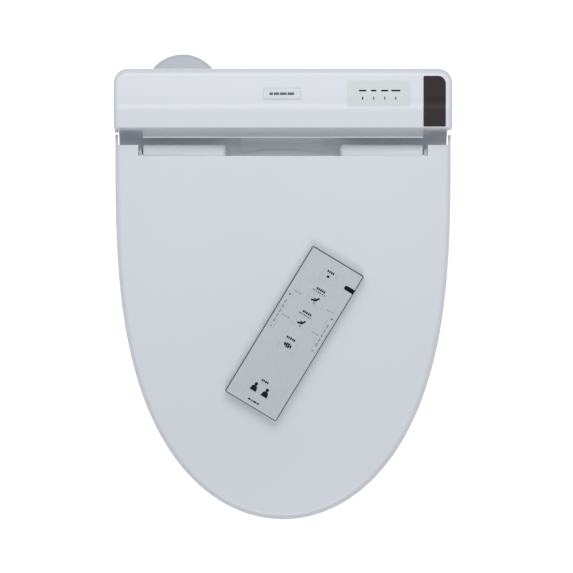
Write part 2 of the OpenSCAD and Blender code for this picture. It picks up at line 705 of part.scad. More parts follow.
// bars on the hinge line and the web that joins them to the ring
module seat_bars() {
    hinge_rod(bar_in, bar_out, barrel_r);
    along_x(bar_in, bar_out) polygon([[seat_rear_y - 1, 58], [hinge_y, hinge_z - barrel_r + 2],
        [hinge_y, seat_rear_z + 4], [hinge_y - 8, seat_top_z(hinge_y - 8) + 3.5], [seat_rear_y - 1, seat_top_z(seat_rear_y - 1)]]);
}
module seat_top() {
    color([0.87, 0.88, 0.9]) {
        difference() {
            seat_solid(0);
            seat_solid(seat_wall);
            block([-300, -600, 0], [300, 0, seat_joint_z]);
        }
        both_sides() difference() {
            seat_bars();
            hinge_rod(bar_in + 3, bar_out + 1, hub_r);
        }
    }
}
module seat_bottom() {
    color([0.82, 0.83, 0.85]) difference() {
        seat_solid(0);
        seat_solid(seat_wall);
        block([-300, -600, seat_joint_z], [300, 0, 200]);
    }
}
module seat_heater() {
    color([0.75, 0.6, 0.3]) intersection() {
        along_z(0, 100) difference() {
            lid_outline(seat_inset + 9, seat_rear_y - 9);
            opening_outline(9);
        }
        along_x(-200, 200) polygon([[lid_tip_y, seat_top_z(lid_tip_y) - seat_wall - 0.6],
            [hinge_y, seat_top_z(hinge_y) - seat_wall - 0.6], [hinge_y, seat_top_z(hinge_y) - seat_wall],
            [lid_tip_y, seat_top_z(lid_tip_y) - seat_wall]]);
    }
}
seat_pad_places = [[150, -118], [116, -366]];
module seat_pads() {
    color([0.75, 0.76, 0.78]) both_sides() for (p = seat_pad_places)
        pad(p[0] - 8, p[1] - 16, p[0] + 8, p[1] + 16, 0, pad_h, 7);
}
// soft-close damper in the left bar and a plain bush in the right one
damper_in = 104;
module seat_damper() {
    color([0.2, 0.2, 0.22]) difference() {
        hinge_rod(-bar_out, -damper_in, hub_r);
        hinge_rod(-bar_out - 1, -damper_in + 1, bore_r);
    }
}
module seat_bush() {
    color([0.9, 0.9, 0.88]) difference() {
        hinge_rod(damper_in, bar_out, hub_r);
        hinge_rod(damper_in - 1, bar_out + 1, bore_r);
    }
}
axle_in = 108;
axle_out = 186;
module hinge_axles() { color([0.7, 0.71, 0.73]) both_sides() hinge_rod(axle_in, axle_out, axle_r); }

// ================= lid =================
lid_wall = 3;
cheek_r = 25;
lid_edge_y = hinge_y + 0.4;             // rear edge of the lid between its ears
skirt_rear_z = 45;                      // lower edge of the lid's side over the hinge line
skirt_tip_z = 31;
module under_lid_top(t) {
    along_x(-200, 200) polygon([[lid_tip_y - 5, lid_z(lid_tip_y - 5) - t], [lid_tip_y - 5, 0], [0, 0], [0, lid_z(0) - t]]);
}
module lid_body() {
    difference() {
        intersection() {
            along_z(0, 120) lid_outline(0, lid_edge_y);
            along_x(-200, 200) polygon([[lid_tip_y - 1, skirt_tip_z], [lid_edge_y, skirt_rear_z],
                [lid_edge_y, lid_z(lid_edge_y)], [lid_tip_y - 1, lid_z(lid_tip_y - 1)]]);
        }
        intersection() {
            along_z(0, 120) lid_outline(lid_wall, lid_rear_y);
            under_lid_top(lid_t);
        }
    }
}
module lid_ears() {
    ear_out = lid_half_w - lid_wall + 0.2;
    intersection() {
        union() {
            hinge_rod(ear_in, ear_out, barrel_r);
            block([ear_in, hinge_y - barrel_r, hinge_z], [ear_out, hinge_y + 13, lid_top_z + 3]);
        }
        under_lid_top(0);
    }
    intersection() {
        hinge_rod(lid_half_w - lid_wall, lid_half_w, cheek_r);
        under_lid_top(0);
    }
}
module lid_shell() {
    color([0.85, 0.86, 0.88]) difference() {
        union() {
            lid_body();
            both_sides() lid_ears();
        }
        hinge_rod(ear_in - 1, axle_out + 1, hub_r);
        hinge_rod(-axle_out - 0.4, -ear_in + 1, bore_r);
    }
}
lid_pad_places = [[120, -150], [96, -410]];
module lid_pads() {
    color([0.75, 0.76, 0.78]) both_sides() for (p = lid_pad_places) intersection() {
        along_z(0, 120) polygon(rounded(box_outline(p[0] - 6, p[1] - 12, p[0] + 6, p[1] + 12, 5)));
        along_x(-200, 200) polygon([[-500, seat_top_z(-500) + 0.1], [0, seat_top_z(0) + 0.1],
            [0, lid_z(0) - lid_t], [-500, lid_z(-500) - lid_t]]);
    }
}
// soft-close damper in the right ear; the left ear turns on its axle directly
module lid_damper() {
    color([0.2, 0.2, 0.22]) difference() {
        hinge_rod(ear_in, axle_out + 1, hub_r);
        hinge_rod(ear_in - 1, axle_out + 0.4, bore_r);
    }
}

// ================= remote =================
face_t = 2;
shell_t = 1.8;
remote_r = 1.4;
key_gap = 0.2;
door_half_w = 17.7;
module remote_frame() {
    translate([remote_x, remote_y, lid_z(remote_y)]) rotate([slope, 0, 0]) rotate([0, 0, remote_turn]) children();
}
board_end = -19;
dome_z = 11;                            // top of the switches below the keys
function mid_x(b) = (b[0] + b[2]) / 2;
function mid_y(b) = (b[1] + b[3]) / 2;
function key_box(x, y, w, l) = [x - w / 2, y - l / 2, x + w / 2, y + l / 2];
wash_keys = [for (y = [46, 16, -15]) key_box(0.2, y, 20, 13)];
user_keys = [for (x = [-7.8, 7.2]) key_box(x, -74, 12.5, 13)];
stop_box = key_box(-0.4, 76, 18, 14);
rocker_w = 7;
rocker_l = 46;
rocker_x = 28;
rocker_y = 16;
rocker_z = remote_h - 2.4;
window_box = [21.2, 73, remote_w / 2, 78.5];
module key_shape(b, z0, z1, t) { pad(b[0] - t, b[1] - t, b[2] + t, b[3] + t, z0, z1, 1.5); }
function rocker_box(s) = key_box(s * rocker_x, rocker_y, rocker_w, rocker_l);
face_z = remote_h - face_t;

module remote_case() {
    color([0.78, 0.79, 0.81]) remote_frame() difference() {
        pad(-remote_w / 2, -remote_l / 2, remote_w / 2, remote_l / 2, 0.4, face_z, remote_r);
        pad(-remote_w / 2 + shell_t, -remote_l / 2 + shell_t, remote_w / 2 - shell_t, remote_l / 2 - shell_t,
            0.4 + shell_t, face_z + 1, 0.8);
        // battery door's opening at the lower end
        block([-door_half_w - 0.3, -remote_l / 2 - 1, 0], [door_half_w + 0.3, board_end, 2.4 + eps]);
    }
}
module remote_face() {
    color([0.68, 0.69, 0.71]) remote_frame() difference() {
        pad(-remote_w / 2, -remote_l / 2, remote_w / 2, remote_l / 2, face_z, remote_h, remote_r);
        for (b = concat(wash_keys, user_keys, [stop_box, rocker_box(1), rocker_box(-1)]))
            key_shape(b, face_z - 1, remote_h + 1, key_gap);
        block([window_box[0], window_box[1], face_z - 1], [window_box[2] + 1, window_box[3], remote_h + 1]);
    }
}
module remote_board() {
    color([0.1, 0.35, 0.2]) remote_frame() {
        block([-remote_w / 2 + 2.2, board_end, 5.4], [remote_w / 2 - 2.2, remote_l / 2 - 3, 7]);
        block([-20, -86, 8.6], [20, -68, 10]);
        for (b = concat(wash_keys, [stop_box])) rod_z(7 - eps, dome_z, mid_x(b), mid_y(b), 3);
        for (b = user_keys) rod_z(10 - eps, dome_z, mid_x(b), mid_y(b), 3);
        for (s = [-1, 1], e = [-1, 1]) rod_z(7 - eps, dome_z, s * rocker_x, rocker_y + e * 17, 2.4);
    }
}
module battery_cover() {
    color([0.74, 0.75, 0.77]) remote_frame() 
        block([-door_half_w, -remote_l / 2 + 0.2, 0.5], [door_half_w, board_end - 0.4, 2.2]);
}
module batteries() {
    color([0.3, 0.4, 0.35]) remote_frame() for (x = [-6.2, 6.2]) {
        rod_y(-66, -22.5, x, 7.7, 5.2);
        rod_y(-22.5, -21.5, x, 7.7, 1.9);
    }
}
module remote_window() {
    color([0.08, 0.08, 0.08]) remote_frame()
        pad(window_box[0], window_box[1], window_box[2], window_box[3], face_z, remote_h, 0.2);
}
module key_cap(b) { color([0.68, 0.69, 0.71]) remote_frame() key_shape(b, face_z - 0.8, remote_h, 0); }
module stop_key() { key_cap(stop_box); }
module rear_key() { key_cap(wash_keys[0]); }
module front_key() { key_cap(wash_keys[1]); }
module dryer_key() { key_cap(wash_keys[2]); }
module user_key_1() { key_cap(user_keys[0]); }
module user_key_2() { key_cap(user_keys[1]); }
// a long cap that tips on the round bar below its middle
module rocker(s) {
    color([0.66, 0.67, 0.69]) remote_frame() {
        key_shape(rocker_box(s), remote_h - 1.6, remote_h, 0);
        rod_x(s * rocker_x - 2.5, s * rocker_x + 2.5, rocker_y, rocker_z, 1.1);
    }
}
module pressure_rocker() { rocker(-1); }
module position_rocker() { rocker(1); }

base_plate();
lower_case();
upper_cover();
inlet_cover();
nozzle_cover();
case_screws();
sensor_window();
indicator_panel();
badge_plate();
led_guides();
power_button();
release_button();
cord_gland();
inlet_spigot();
valve_unit();
water_filter();
filter_knob();
wash_pump();
water_heater();
water_pipes();
nozzle_guide();
nozzle_wand();
nozzle_tip();
nozzle_rack();
stepper_motor();
drive_pinion();
blower_housing();
blower_motor();
blower_impeller();
dryer_duct();
dryer_flap();
deodorizer_housing();
deodorizer_fan();
deodorizer_cartridge();
control_board();
power_supply();
hinge_axles();
seat_top();
seat_bottom();
seat_heater();
seat_pads();
seat_damper();
seat_bush();
lid_shell();
lid_pads();
lid_damper();
remote_case();
remote_face();
remote_board();
battery_cover();
batteries();
remote_window();
stop_key();
rear_key();
front_key();
dryer_key();
user_key_1();
user_key_2();
pressure_rocker();
position_rocker();
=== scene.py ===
"""Looks of an electric bidet seat: white glossy lid, seat and washing unit, and a silver hand remote."""
import json
import math

import bmesh
import bpy
from mathutils import Matrix, Vector

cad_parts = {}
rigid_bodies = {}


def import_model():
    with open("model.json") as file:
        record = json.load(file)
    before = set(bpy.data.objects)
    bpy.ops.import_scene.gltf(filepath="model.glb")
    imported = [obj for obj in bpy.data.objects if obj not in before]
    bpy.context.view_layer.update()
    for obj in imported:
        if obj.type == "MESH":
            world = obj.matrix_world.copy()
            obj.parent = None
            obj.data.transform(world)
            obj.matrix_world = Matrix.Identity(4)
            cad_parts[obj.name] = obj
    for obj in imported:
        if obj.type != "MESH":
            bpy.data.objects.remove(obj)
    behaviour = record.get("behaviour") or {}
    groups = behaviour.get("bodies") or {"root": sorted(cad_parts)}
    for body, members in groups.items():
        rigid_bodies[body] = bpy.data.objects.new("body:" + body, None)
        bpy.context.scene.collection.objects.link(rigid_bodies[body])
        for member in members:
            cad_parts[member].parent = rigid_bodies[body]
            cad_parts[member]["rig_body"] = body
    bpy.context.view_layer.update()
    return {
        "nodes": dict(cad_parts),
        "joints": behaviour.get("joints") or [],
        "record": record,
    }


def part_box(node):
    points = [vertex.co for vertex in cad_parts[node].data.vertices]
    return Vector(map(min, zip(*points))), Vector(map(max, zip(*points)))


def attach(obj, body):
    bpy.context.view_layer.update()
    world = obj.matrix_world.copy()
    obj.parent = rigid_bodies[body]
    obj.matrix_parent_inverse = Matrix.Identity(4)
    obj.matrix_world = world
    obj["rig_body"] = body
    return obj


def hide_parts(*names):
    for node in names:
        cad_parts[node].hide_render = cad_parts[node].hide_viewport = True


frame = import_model()
NODES = frame["nodes"]
JOINTS = {joint["name"]: joint for joint in frame["joints"]}
MM = 0.001


# ---------- places that follow from the frame ----------
HINGE = Vector(JOINTS["seat_hinge"]["pos_m"])
LID_NORMAL = Vector(JOINTS["remote_lift"]["axis"])
SLOPE = math.atan2(-LID_NORMAL.y, LID_NORMAL.z)
lid_low, lid_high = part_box("lid_shell")
cover_low, cover_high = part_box("upper_cover")
seat_bottom_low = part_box("seat_bottom")[0]
LID_HALF_W = lid_high.x
LID_TIP_Y = lid_low.y
LID_REAR_Y = HINGE.y + 12 * MM
EAR_REAR_Y = HINGE.y + 13 * MM
LID_EDGE_Y = HINGE.y + 0.4 * MM
REMOTE_V = -Vector(JOINTS["battery_door_slide"]["axis"])
REMOTE_U = REMOTE_V.cross(LID_NORMAL)
REMOTE_MIDDLE = (Vector(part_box("remote_face")[0]) + Vector(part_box("remote_face")[1])) / 2
# middle of the remote's face plate above the lid
FACE_MIDDLE = 15 * MM - 1 * MM
# farther than any face of the part, for the ends of cutting tools
FAR = 0.2


def lid_top(y):
    """Height of the lid's top plane."""
    return lid_high.z + (y - EAR_REAR_Y) * math.tan(SLOPE)


def seat_top(y):
    """Height of the seat's top plane, which is parallel to the lid's."""
    return lid_top(y) - 16 * MM


# ---------- meshes ----------
def set_smooth(obj, smooth=True):
    """Shades every face of obj smooth or flat."""
    for face in obj.data.polygons:
        face.use_smooth = smooth


def from_bmesh(name, bm):
    """An object with smooth faces made from bm, which is freed."""
    bmesh.ops.recalc_face_normals(bm, faces=bm.faces)
    mesh = bpy.data.meshes.new(name)
    bm.to_mesh(mesh)
    bm.free()
    obj = bpy.data.objects.new(name, mesh)
    bpy.context.scene.collection.objects.link(obj)
    set_smooth(obj)
    return obj


def loft(name, rings, cap_start=True, cap_end=True):
    """A skin over closed rings of equal length."""
    bm = bmesh.new()
    loops = [[bm.verts.new(point) for point in ring] for ring in rings]
    count = len(loops[0])
    for first, second in zip(loops, loops[1:]):
        for i in range(count):
            j = (i + 1) % count
            bm.faces.new((first[i], first[j], second[j], second[i]))
    if cap_start:
        bm.faces.new(loops[0][::-1])
    if cap_end:
        bm.faces.new(loops[-1])
    return from_bmesh(name, bm)


def prism(name, points, low, high, axis="z"):
    """A straight prism over a plan outline, or with axis "x" over a side outline of (y, z) points."""
    if axis == "z":
        rings = [[(x, y, z) for x, y in points] for z in (low, high)]
    else:
        rings = [[(x, y, z) for y, z in points] for x in (low, high)]
    return loft(name, rings)


def arc(y, z, radius, start, end, steps=16):
    """Points of an arc in the side view, angles in degrees from +Y towards +Z."""
    angles = [math.radians(start + (end - start) * i / steps) for i in range(steps + 1)]
    return [(y + radius * math.cos(a), z + radius * math.sin(a)) for a in angles]


def rod(name, x0, x1, radius, y=HINGE.y, z=HINGE.z, steps=48):
    """A round rod along X, on the hinge line unless told otherwise."""
    return prism(name, arc(y, z, radius, 0, 360 - 360 / steps, steps - 1), x0, x1, "x")


def block(name, low, high):
    """A box between two opposite corners."""
    plan = [(low[0], low[1]), (high[0], low[1]), (high[0], high[1]), (low[0], high[1])]
    return prism(name, plan, low[2], high[2])


def by_side(side, inner, outer):
    """The range in x between two distances from the middle, on the right (1) or the left (-1)."""
    return sorted((side * inner, side * outer))


def rounded_box(low_x, low_y, high_x, high_y, radius, steps=6):
    """Plan outline of a rectangle with round corners, anticlockwise."""
    centres = [(high_x - radius, low_y + radius, -90), (high_x - radius, high_y - radius, 0),
               (low_x + radius, high_y - radius, 90), (low_x + radius, low_y + radius, 180)]
    points = []
    for x, y, start in centres:
        for i in range(steps + 1):
            angle = math.radians(start + 90 * i / steps)
            points.append((x + radius * math.cos(angle), y + radius * math.sin(angle)))
    return points


def apply_modifiers(obj):
    """Bakes the modifiers into the mesh."""
    bpy.context.view_layer.update()
    graph = bpy.context.evaluated_depsgraph_get()
    mesh = bpy.data.meshes.new_from_object(obj.evaluated_get(graph))
    obj.modifiers.clear()
    obj.data = mesh


def cut(obj, *tools, operation="DIFFERENCE"):
    """Cuts obj with the tools, or joins them to it, and removes the tools."""
    for tool in tools:
        modifier = obj.modifiers.new("cut", "BOOLEAN")
        modifier.object = tool
        modifier.operation = operation
        modifier.solver = "EXACT"
        apply_modifiers(obj)
        bpy.data.objects.remove(tool)


def finish_edges(obj, width, segments=3, angle=32, harden=False):
    """Rounds the sharp edges and shades the rest smooth; harden keeps long flat faces flat."""
    bevel = obj.modifiers.new("bevel", "BEVEL")
    bevel.width = width
    bevel.segments = segments
    bevel.limit_method = "ANGLE"
    bevel.angle_limit = math.radians(angle)
    bevel.use_clamp_overlap = True
    bevel.miter_outer = "MITER_ARC"
    if harden:
        bevel.harden_normals = True
        set_smooth(obj)
        apply_modifiers(obj)
        return
    normals = obj.modifiers.new("normals", "WEIGHTED_NORMAL")
    normals.keep_sharp = True
    normals.weight = 60
    apply_modifiers(obj)
    set_smooth(obj)


def soften(node, width, segments=2, angle=32):
    """A copy of a CAD node with its sharp edges rounded, which replaces the node."""
    bm = bmesh.new()
    bm.from_mesh(NODES[node].data)
    bmesh.ops.remove_doubles(bm, verts=bm.verts, dist=1e-6)
    bmesh.ops.dissolve_limit(bm, angle_limit=math.radians(0.5), verts=bm.verts, edges=bm.edges)
    obj = from_bmesh(node + "_look", bm)
    finish_edges(obj, width, segments, angle)
    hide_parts(node)
    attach(obj, NODES[node]["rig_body"])
    return obj


def offset_outline(points, distances):
    """Moves each side of an anticlockwise outline of (x, y, corner radius) points inwards by its distance."""
    moved = []
    for i, (x, y, radius) in enumerate(points):
        here = Vector((x, y))
        arriving = (here - Vector(points[i - 1][:2])).normalized()
        leaving = (Vector(points[(i + 1) % len(points)][:2]) - here).normalized()
        first = Vector((-arriving.y, arriving.x))
        second = Vector((-leaving.y, leaving.x))
        before, after = distances[i - 1], distances[i]
        turn = first.dot(second)
        here += (first * (before - turn * after) + second * (after - turn * before)) / (1 - turn * turn)
        moved.append((here.x, here.y, max(radius - min(before, after), 0.2 * MM) if radius else 0))
    return moved


def round_outline(points, steps=8):
    """Points of the outline with every corner that has a radius rounded."""
    result = []
    for i, (x, y, radius) in enumerate(points):
        here = Vector((x, y))
        to_before = (Vector(points[i - 1][:2]) - here).normalized()
        to_after = (Vector(points[(i + 1) % len(points)][:2]) - here).normalized()
        if radius <= 0:
            result.append((x, y))
            continue
        half = math.acos(max(-1, min(1, to_before.dot(to_after)))) / 2
        centre = here + (to_before + to_after).normalized() * radius / math.sin(half)
        start = here + to_before * radius / math.tan(half) - centre
        end = here + to_after * radius / math.tan(half) - centre
        first = math.atan2(start.y, start.x)
        turn = (math.atan2(end.y, end.x) - first + math.pi) % math.tau - math.pi
        for k in range(steps + 1):
            angle = first + turn * k / steps
            result.append((centre.x + radius * math.cos(angle), centre.y + radius * math.sin(angle)))
    return result


# ---------- materials ----------
def node_tree(name):
    """A new material with a Principled shader: returns the material, its tree and the shader."""
    material = bpy.data.materials.new(name)
    material.use_nodes = True
    tree = material.node_tree
    return material, tree, tree.nodes["Principled BSDF"]


def noise(tree, scale, detail=3.0, stretch=(1, 1, 1)):
    """Noise in the object's own coordinates."""
    place = tree.nodes.new("ShaderNodeTexCoord")
    mapping = tree.nodes.new("ShaderNodeMapping")
    mapping.inputs["Scale"].default_value = stretch
    texture = tree.nodes.new("ShaderNodeTexNoise")
    texture.inputs["Scale"].default_value = scale
    texture.inputs["Detail"].default_value = detail
    tree.links.new(place.outputs["Object"], mapping.inputs["Vector"])
    tree.links.new(mapping.outputs["Vector"], texture.inputs["Vector"])
    return texture.outputs["Fac"]


def ramp(tree, factor, dark, light, low=0.35, high=0.65):
    """Colours from dark to light over the middle of a factor."""
    node = tree.nodes.new("ShaderNodeValToRGB")
    node.color_ramp.elements[0].position = low
    node.color_ramp.elements[1].position = high
    node.color_ramp.elements[0].color = (*dark, 1)
    node.color_ramp.elements[1].color = (*light, 1)
    tree.links.new(factor, node.inputs["Fac"])
    return node.outputs["Color"]


def spread(tree, factor, low, high):
    """A number between low and high that follows a factor."""
    node = tree.nodes.new("ShaderNodeMapRange")
    node.inputs["From Min"].default_value = 0.3
    node.inputs["From Max"].default_value = 0.7
    node.inputs["To Min"].default_value = low
    node.inputs["To Max"].default_value = high
    tree.links.new(factor, node.inputs["Value"])
    return node.outputs["Result"]


def relief(tree, shader, factor, depth, strength=1.0):
    """Bump from a factor, depth in metres."""
    node = tree.nodes.new("ShaderNodeBump")
    node.inputs["Strength"].default_value = strength
    node.inputs["Distance"].default_value = depth
    tree.links.new(factor, node.inputs["Height"])
    tree.links.new(node.outputs["Normal"], shader.inputs["Normal"])


def shade(color, amount):
    """The colour made lighter or darker."""
    return tuple(min(1.0, value * amount) for value in color)


def color_clouds(tree, shader, factor, color, vary):
    """The base colour, a share of vary darker to lighter as the factor goes."""
    mixed = ramp(tree, factor, shade(color, 1 - vary), shade(color, 1 + vary))
    tree.links.new(mixed, shader.inputs["Base Color"])


def resin(name, color, roughness, coat=0.0, grain=900, depth=0.002 * MM, vary=0.008, gloss=0.5):
    """Moulded plastic: slight clouds in colour and gloss, and a fine moulded grain."""
    material, tree, shader = node_tree(name)
    color_clouds(tree, shader, noise(tree, 7, 4), color, vary)
    gloss_clouds = spread(tree, noise(tree, 38, 5), roughness * 0.95, roughness * 1.05)
    tree.links.new(gloss_clouds, shader.inputs["Roughness"])
    relief(tree, shader, noise(tree, grain, 2), depth)
    shader.inputs["Specular IOR Level"].default_value = gloss
    shader.inputs["Coat Weight"].default_value = coat
    shader.inputs["Coat Roughness"].default_value = 0.08
    return material


def metal(name, color, roughness, stretch=(1, 1, 1), grain=700, depth=0.003 * MM, vary=0.05):
    """Metal with machining or brushing marks along the axis that stretch leaves small."""
    material, tree, shader = node_tree(name)
    marks = noise(tree, grain, 4, stretch)
    color_clouds(tree, shader, marks, color, vary)
    tree.links.new(spread(tree, noise(tree, 30, 4, stretch), roughness * 0.85, roughness * 1.15),
                   shader.inputs["Roughness"])
    relief(tree, shader, marks, depth)
    shader.inputs["Metallic"].default_value = 1.0
    return material


def rubber(name, color):
    """Soft matt rubber with a fine grain."""
    material, tree, shader = node_tree(name)
    mottled = ramp(tree, noise(tree, 60, 6), shade(color, 0.9), shade(color, 1.08))
    tree.links.new(mottled, shader.inputs["Base Color"])
    tree.links.new(spread(tree, noise(tree, 150, 4), 0.62, 0.8), shader.inputs["Roughness"])
    relief(tree, shader, noise(tree, 1500, 3), 0.03 * MM)
    shader.inputs["Specular IOR Level"].default_value = 0.3
    return material


def brushed_face():
    """The remote's satin face, brushed along its length."""
    material, tree, shader = node_tree("brushed_face")
    place = tree.nodes.new("ShaderNodeTexCoord")
    turn = tree.nodes.new("ShaderNodeMapping")
    turn.vector_type = "TEXTURE"
    turn.inputs["Rotation"].default_value = (0, 0, math.atan2(REMOTE_V.y, REMOTE_V.x) - math.pi / 2)
    squeeze = tree.nodes.new("ShaderNodeMapping")
    squeeze.inputs["Scale"].default_value = (1, 0.02, 1)
    lines = tree.nodes.new("ShaderNodeTexNoise")
    lines.inputs["Scale"].default_value = 2600
    lines.inputs["Detail"].default_value = 4
    tree.links.new(place.outputs["Object"], turn.inputs["Vector"])
    tree.links.new(turn.outputs["Vector"], squeeze.inputs["Vector"])
    tree.links.new(squeeze.outputs["Vector"], lines.inputs["Vector"])
    color_clouds(tree, shader, lines.outputs["Fac"], (0.6, 0.615, 0.635), 0.04)
    tree.links.new(spread(tree, lines.outputs["Fac"], 0.36, 0.46), shader.inputs["Roughness"])
    relief(tree, shader, lines.outputs["Fac"], 0.002 * MM)
    shader.inputs["Metallic"].default_value = 0.35
    return material


def circuit_board():
    """Solder resist over copper tracks."""
    material, tree, shader = node_tree("board")
    place = tree.nodes.new("ShaderNodeTexCoord")
    tracks = tree.nodes.new("ShaderNodeTexBrick")
    tracks.inputs["Scale"].default_value = 160
    tracks.inputs["Mortar Size"].default_value = 0.03
    tracks.inputs["Color1"].default_value = (0.012, 0.11, 0.045, 1)
    tracks.inputs["Color2"].default_value = (0.014, 0.13, 0.05, 1)
    tracks.inputs["Mortar"].default_value = (0.03, 0.2, 0.08, 1)
    tree.links.new(place.outputs["Object"], tracks.inputs["Vector"])
    tree.links.new(tracks.outputs["Color"], shader.inputs["Base Color"])
    tree.links.new(spread(tree, noise(tree, 90, 3), 0.25, 0.4), shader.inputs["Roughness"])
    relief(tree, shader, tracks.outputs["Fac"], 0.03 * MM)
    return material


def print_ink(name, color):
    """Matt printing ink, slightly uneven."""
    material, tree, shader = node_tree(name)
    color_clouds(tree, shader, noise(tree, 800, 3), color, 0.15)
    tree.links.new(spread(tree, noise(tree, 300, 2), 0.4, 0.5), shader.inputs["Roughness"])
    shader.inputs["Specular IOR Level"].default_value = 0.1
    return material


def make_materials():
    """One finish for each material slot of the record, and the inks of the remote's print."""
    return {
        "white_gloss": resin("white_gloss", (0.8, 0.81, 0.83), 0.3, coat=0.2),
        "cover_white": resin("cover_white", (0.8, 0.81, 0.83), 0.32, coat=0.2),
        # the inlet bulge's white plastic made darker: painted shade on the low bulge behind the unit
        "bulge_painted_shade": resin("bulge_painted_shade", (0.64, 0.645, 0.68), 0.4),
        # the matte white is the same plastic as the gloss white, made lighter: painted light that brightens
        # the shaded hinge trough of the lower case
        "white_matte": resin("white_matte", (0.86, 0.875, 0.91), 0.5, grain=1400, depth=0.006 * MM),
        "grey_plate": resin("grey_plate", (0.2, 0.205, 0.22), 0.55, grain=1200, depth=0.015 * MM, vary=0.05),
        "smoked_window": resin("smoked_window", (0.036, 0.026, 0.026), 0.3, vary=0.03, gloss=0.15),
        "dark_window": resin("dark_window", (0.006, 0.006, 0.007), 0.3, vary=0.05, gloss=0.1),
        "panel_film": resin("panel_film", (0.74, 0.765, 0.745), 0.35, gloss=0.3),
        "silver_plate": metal("silver_plate", (0.6, 0.615, 0.63), 0.5, (0.02, 1, 1)),
        "silver_face": brushed_face(),
        "remote_shell": resin("remote_shell", (0.62, 0.63, 0.66), 0.42),
        "remote_rim": metal("remote_rim", (0.13, 0.13, 0.15), 0.35),
        "light_guide": resin("light_guide", (0.6, 0.68, 0.62), 0.1, coat=0.5),
        "pad_rubber": rubber("pad_rubber", (0.34, 0.35, 0.37)),
        "brass": metal("brass", (0.62, 0.44, 0.18), 0.28, (1, 0.05, 1)),
        "dark_resin": resin("dark_resin", (0.035, 0.037, 0.045), 0.45, grain=1100, depth=0.02 * MM,
                            vary=0.15),
        "nozzle_resin": resin("nozzle_resin", (0.6, 0.61, 0.63), 0.14, coat=0.5),
        "steel": metal("steel", (0.5, 0.5, 0.52), 0.25, (0.04, 1, 1)),
        "board": circuit_board(),
        "heater_body": resin("heater_body", (0.52, 0.42, 0.24), 0.5, vary=0.06),
        "heater_foil": metal("heater_foil", (0.6, 0.42, 0.22), 0.35, grain=400, depth=0.02 * MM),
        "pipe": resin("pipe", (0.42, 0.46, 0.5), 0.2, vary=0.05),
        "cell": resin("cell", (0.05, 0.1, 0.16), 0.3, coat=0.3, vary=0.08),
        "ink_dark": print_ink("ink_dark", (0.012, 0.012, 0.016)),
        "ink_grey": print_ink("ink_grey", (0.15, 0.16, 0.18)),
        "ink_light": print_ink("ink_light", (0.36, 0.37, 0.39)),
    }


def paint(obj, material, slot):
    """Gives obj one of the materials; the slot argument is not used."""
    obj.data.materials.clear()
    obj.data.materials.append(MATERIALS[material])


def dress(obj, slot):
    """Gives obj the finish that has its slot's own name."""
    paint(obj, slot, slot)


# ---------- lid ----------
# the right ear runs on the damper, in a wide bore, and the left one straight on its axle
LID_WALL = 3 * MM
LID_ROOF = 4 * MM
LID_FILLET = 7 * MM
LID_CROWN = 2.4 * MM
LID_CROWN_WIDTH = 80 * MM
CHEEK_R = 25 * MM
EAR_R = 13 * MM
EAR_IN = 165.7 * MM
BORE_R = 9 * MM
AXLE_HOLE_R = 5.05 * MM
RIGHT_BORE_END = 187 * MM
LEFT_HOLE_END = 186.4 * MM
SKIRT_TIP_Z = lid_low.z
SKIRT_REAR_Z = HINGE.z - CHEEK_R


def lid_ring(inset, y_end, height, steps=80):
    """One closed ring of the lid's outline, moved in by inset, with the rear cut straight at y_end."""
    length = LID_REAR_Y - LID_TIP_Y - inset
    end = math.sqrt(1 - (LID_REAR_Y - y_end) / length)
    right = []
    for i in range(steps + 1):
        share = 1 - (end * i / steps) ** 2
        x = (LID_HALF_W - inset) * math.sqrt(max(0, 1 - share ** 3))
        right.append((x, LID_REAR_Y - share * length))
    left = [(-x, y) for x, y in right[:0:-1]]
    return [(x, y, height(y)) for x, y in right + left]


def skirt_low(y):
    """Height of the lower edge of the lid's side."""
    share = (HINGE.y - y) / (HINGE.y - LID_TIP_Y)
    return SKIRT_REAR_Z + (SKIRT_TIP_Z - SKIRT_REAR_Z) * share


def lid_solid(name, wall, roof, y_end, foot):
    """The lid's outer form, or with a wall and a roof thickness the hollow below it."""
    fillet = LID_FILLET - wall
    edge = LID_CROWN + roof
    steps = 9
    rings = [lid_ring(wall, y_end, lambda y: skirt_low(y) - foot)]
    for i in range(steps + 1):
        angle = math.pi / 2 * i / steps
        drop = edge + fillet * (1 - math.sin(angle))
        rings.append(lid_ring(wall + fillet * (1 - math.cos(angle)), y_end, lambda y: lid_top(y) - drop))
    for i in range(1, steps + 1):
        share = i / steps
        drop = roof + LID_CROWN * (1 - share) ** 2
        rings.append(lid_ring(wall + fillet + LID_CROWN_WIDTH * share, y_end, lambda y: lid_top(y) - drop))
    return loft(name, rings)


def lid_ear(side):
    """Hinge ear below the lid's roof, with a round foot about the hinge line."""
    rear, front = HINGE.y + EAR_R, HINGE.y - EAR_R
    points = arc(HINGE.y, HINGE.z, EAR_R, -180, 0)
    points.append((rear, HINGE.z + 4 * MM))
    points.append((rear + 3 * MM, HINGE.z + 8 * MM))
    points.append((rear + 3 * MM, lid_top(HINGE.y) - 3.3 * MM))
    points.append((front, lid_top(front) - 4.3 * MM))
    x0, x1 = by_side(side, EAR_IN, LID_HALF_W - LID_WALL + 0.2 * MM)
    return prism("ear", points, x0, x1, "x")


def lid_rear_cutter(x0, x1):
    """Everything behind the round cheek over the hinge line."""
    points = arc(HINGE.y, HINGE.z, CHEEK_R, -90, 55, 24)
    points += [(points[-1][0], 0.12), (0.0, 0.12), (0.0, 0.02), (HINGE.y, 0.02)]
    return prism("rear", points[::-1], x0, x1, "x")


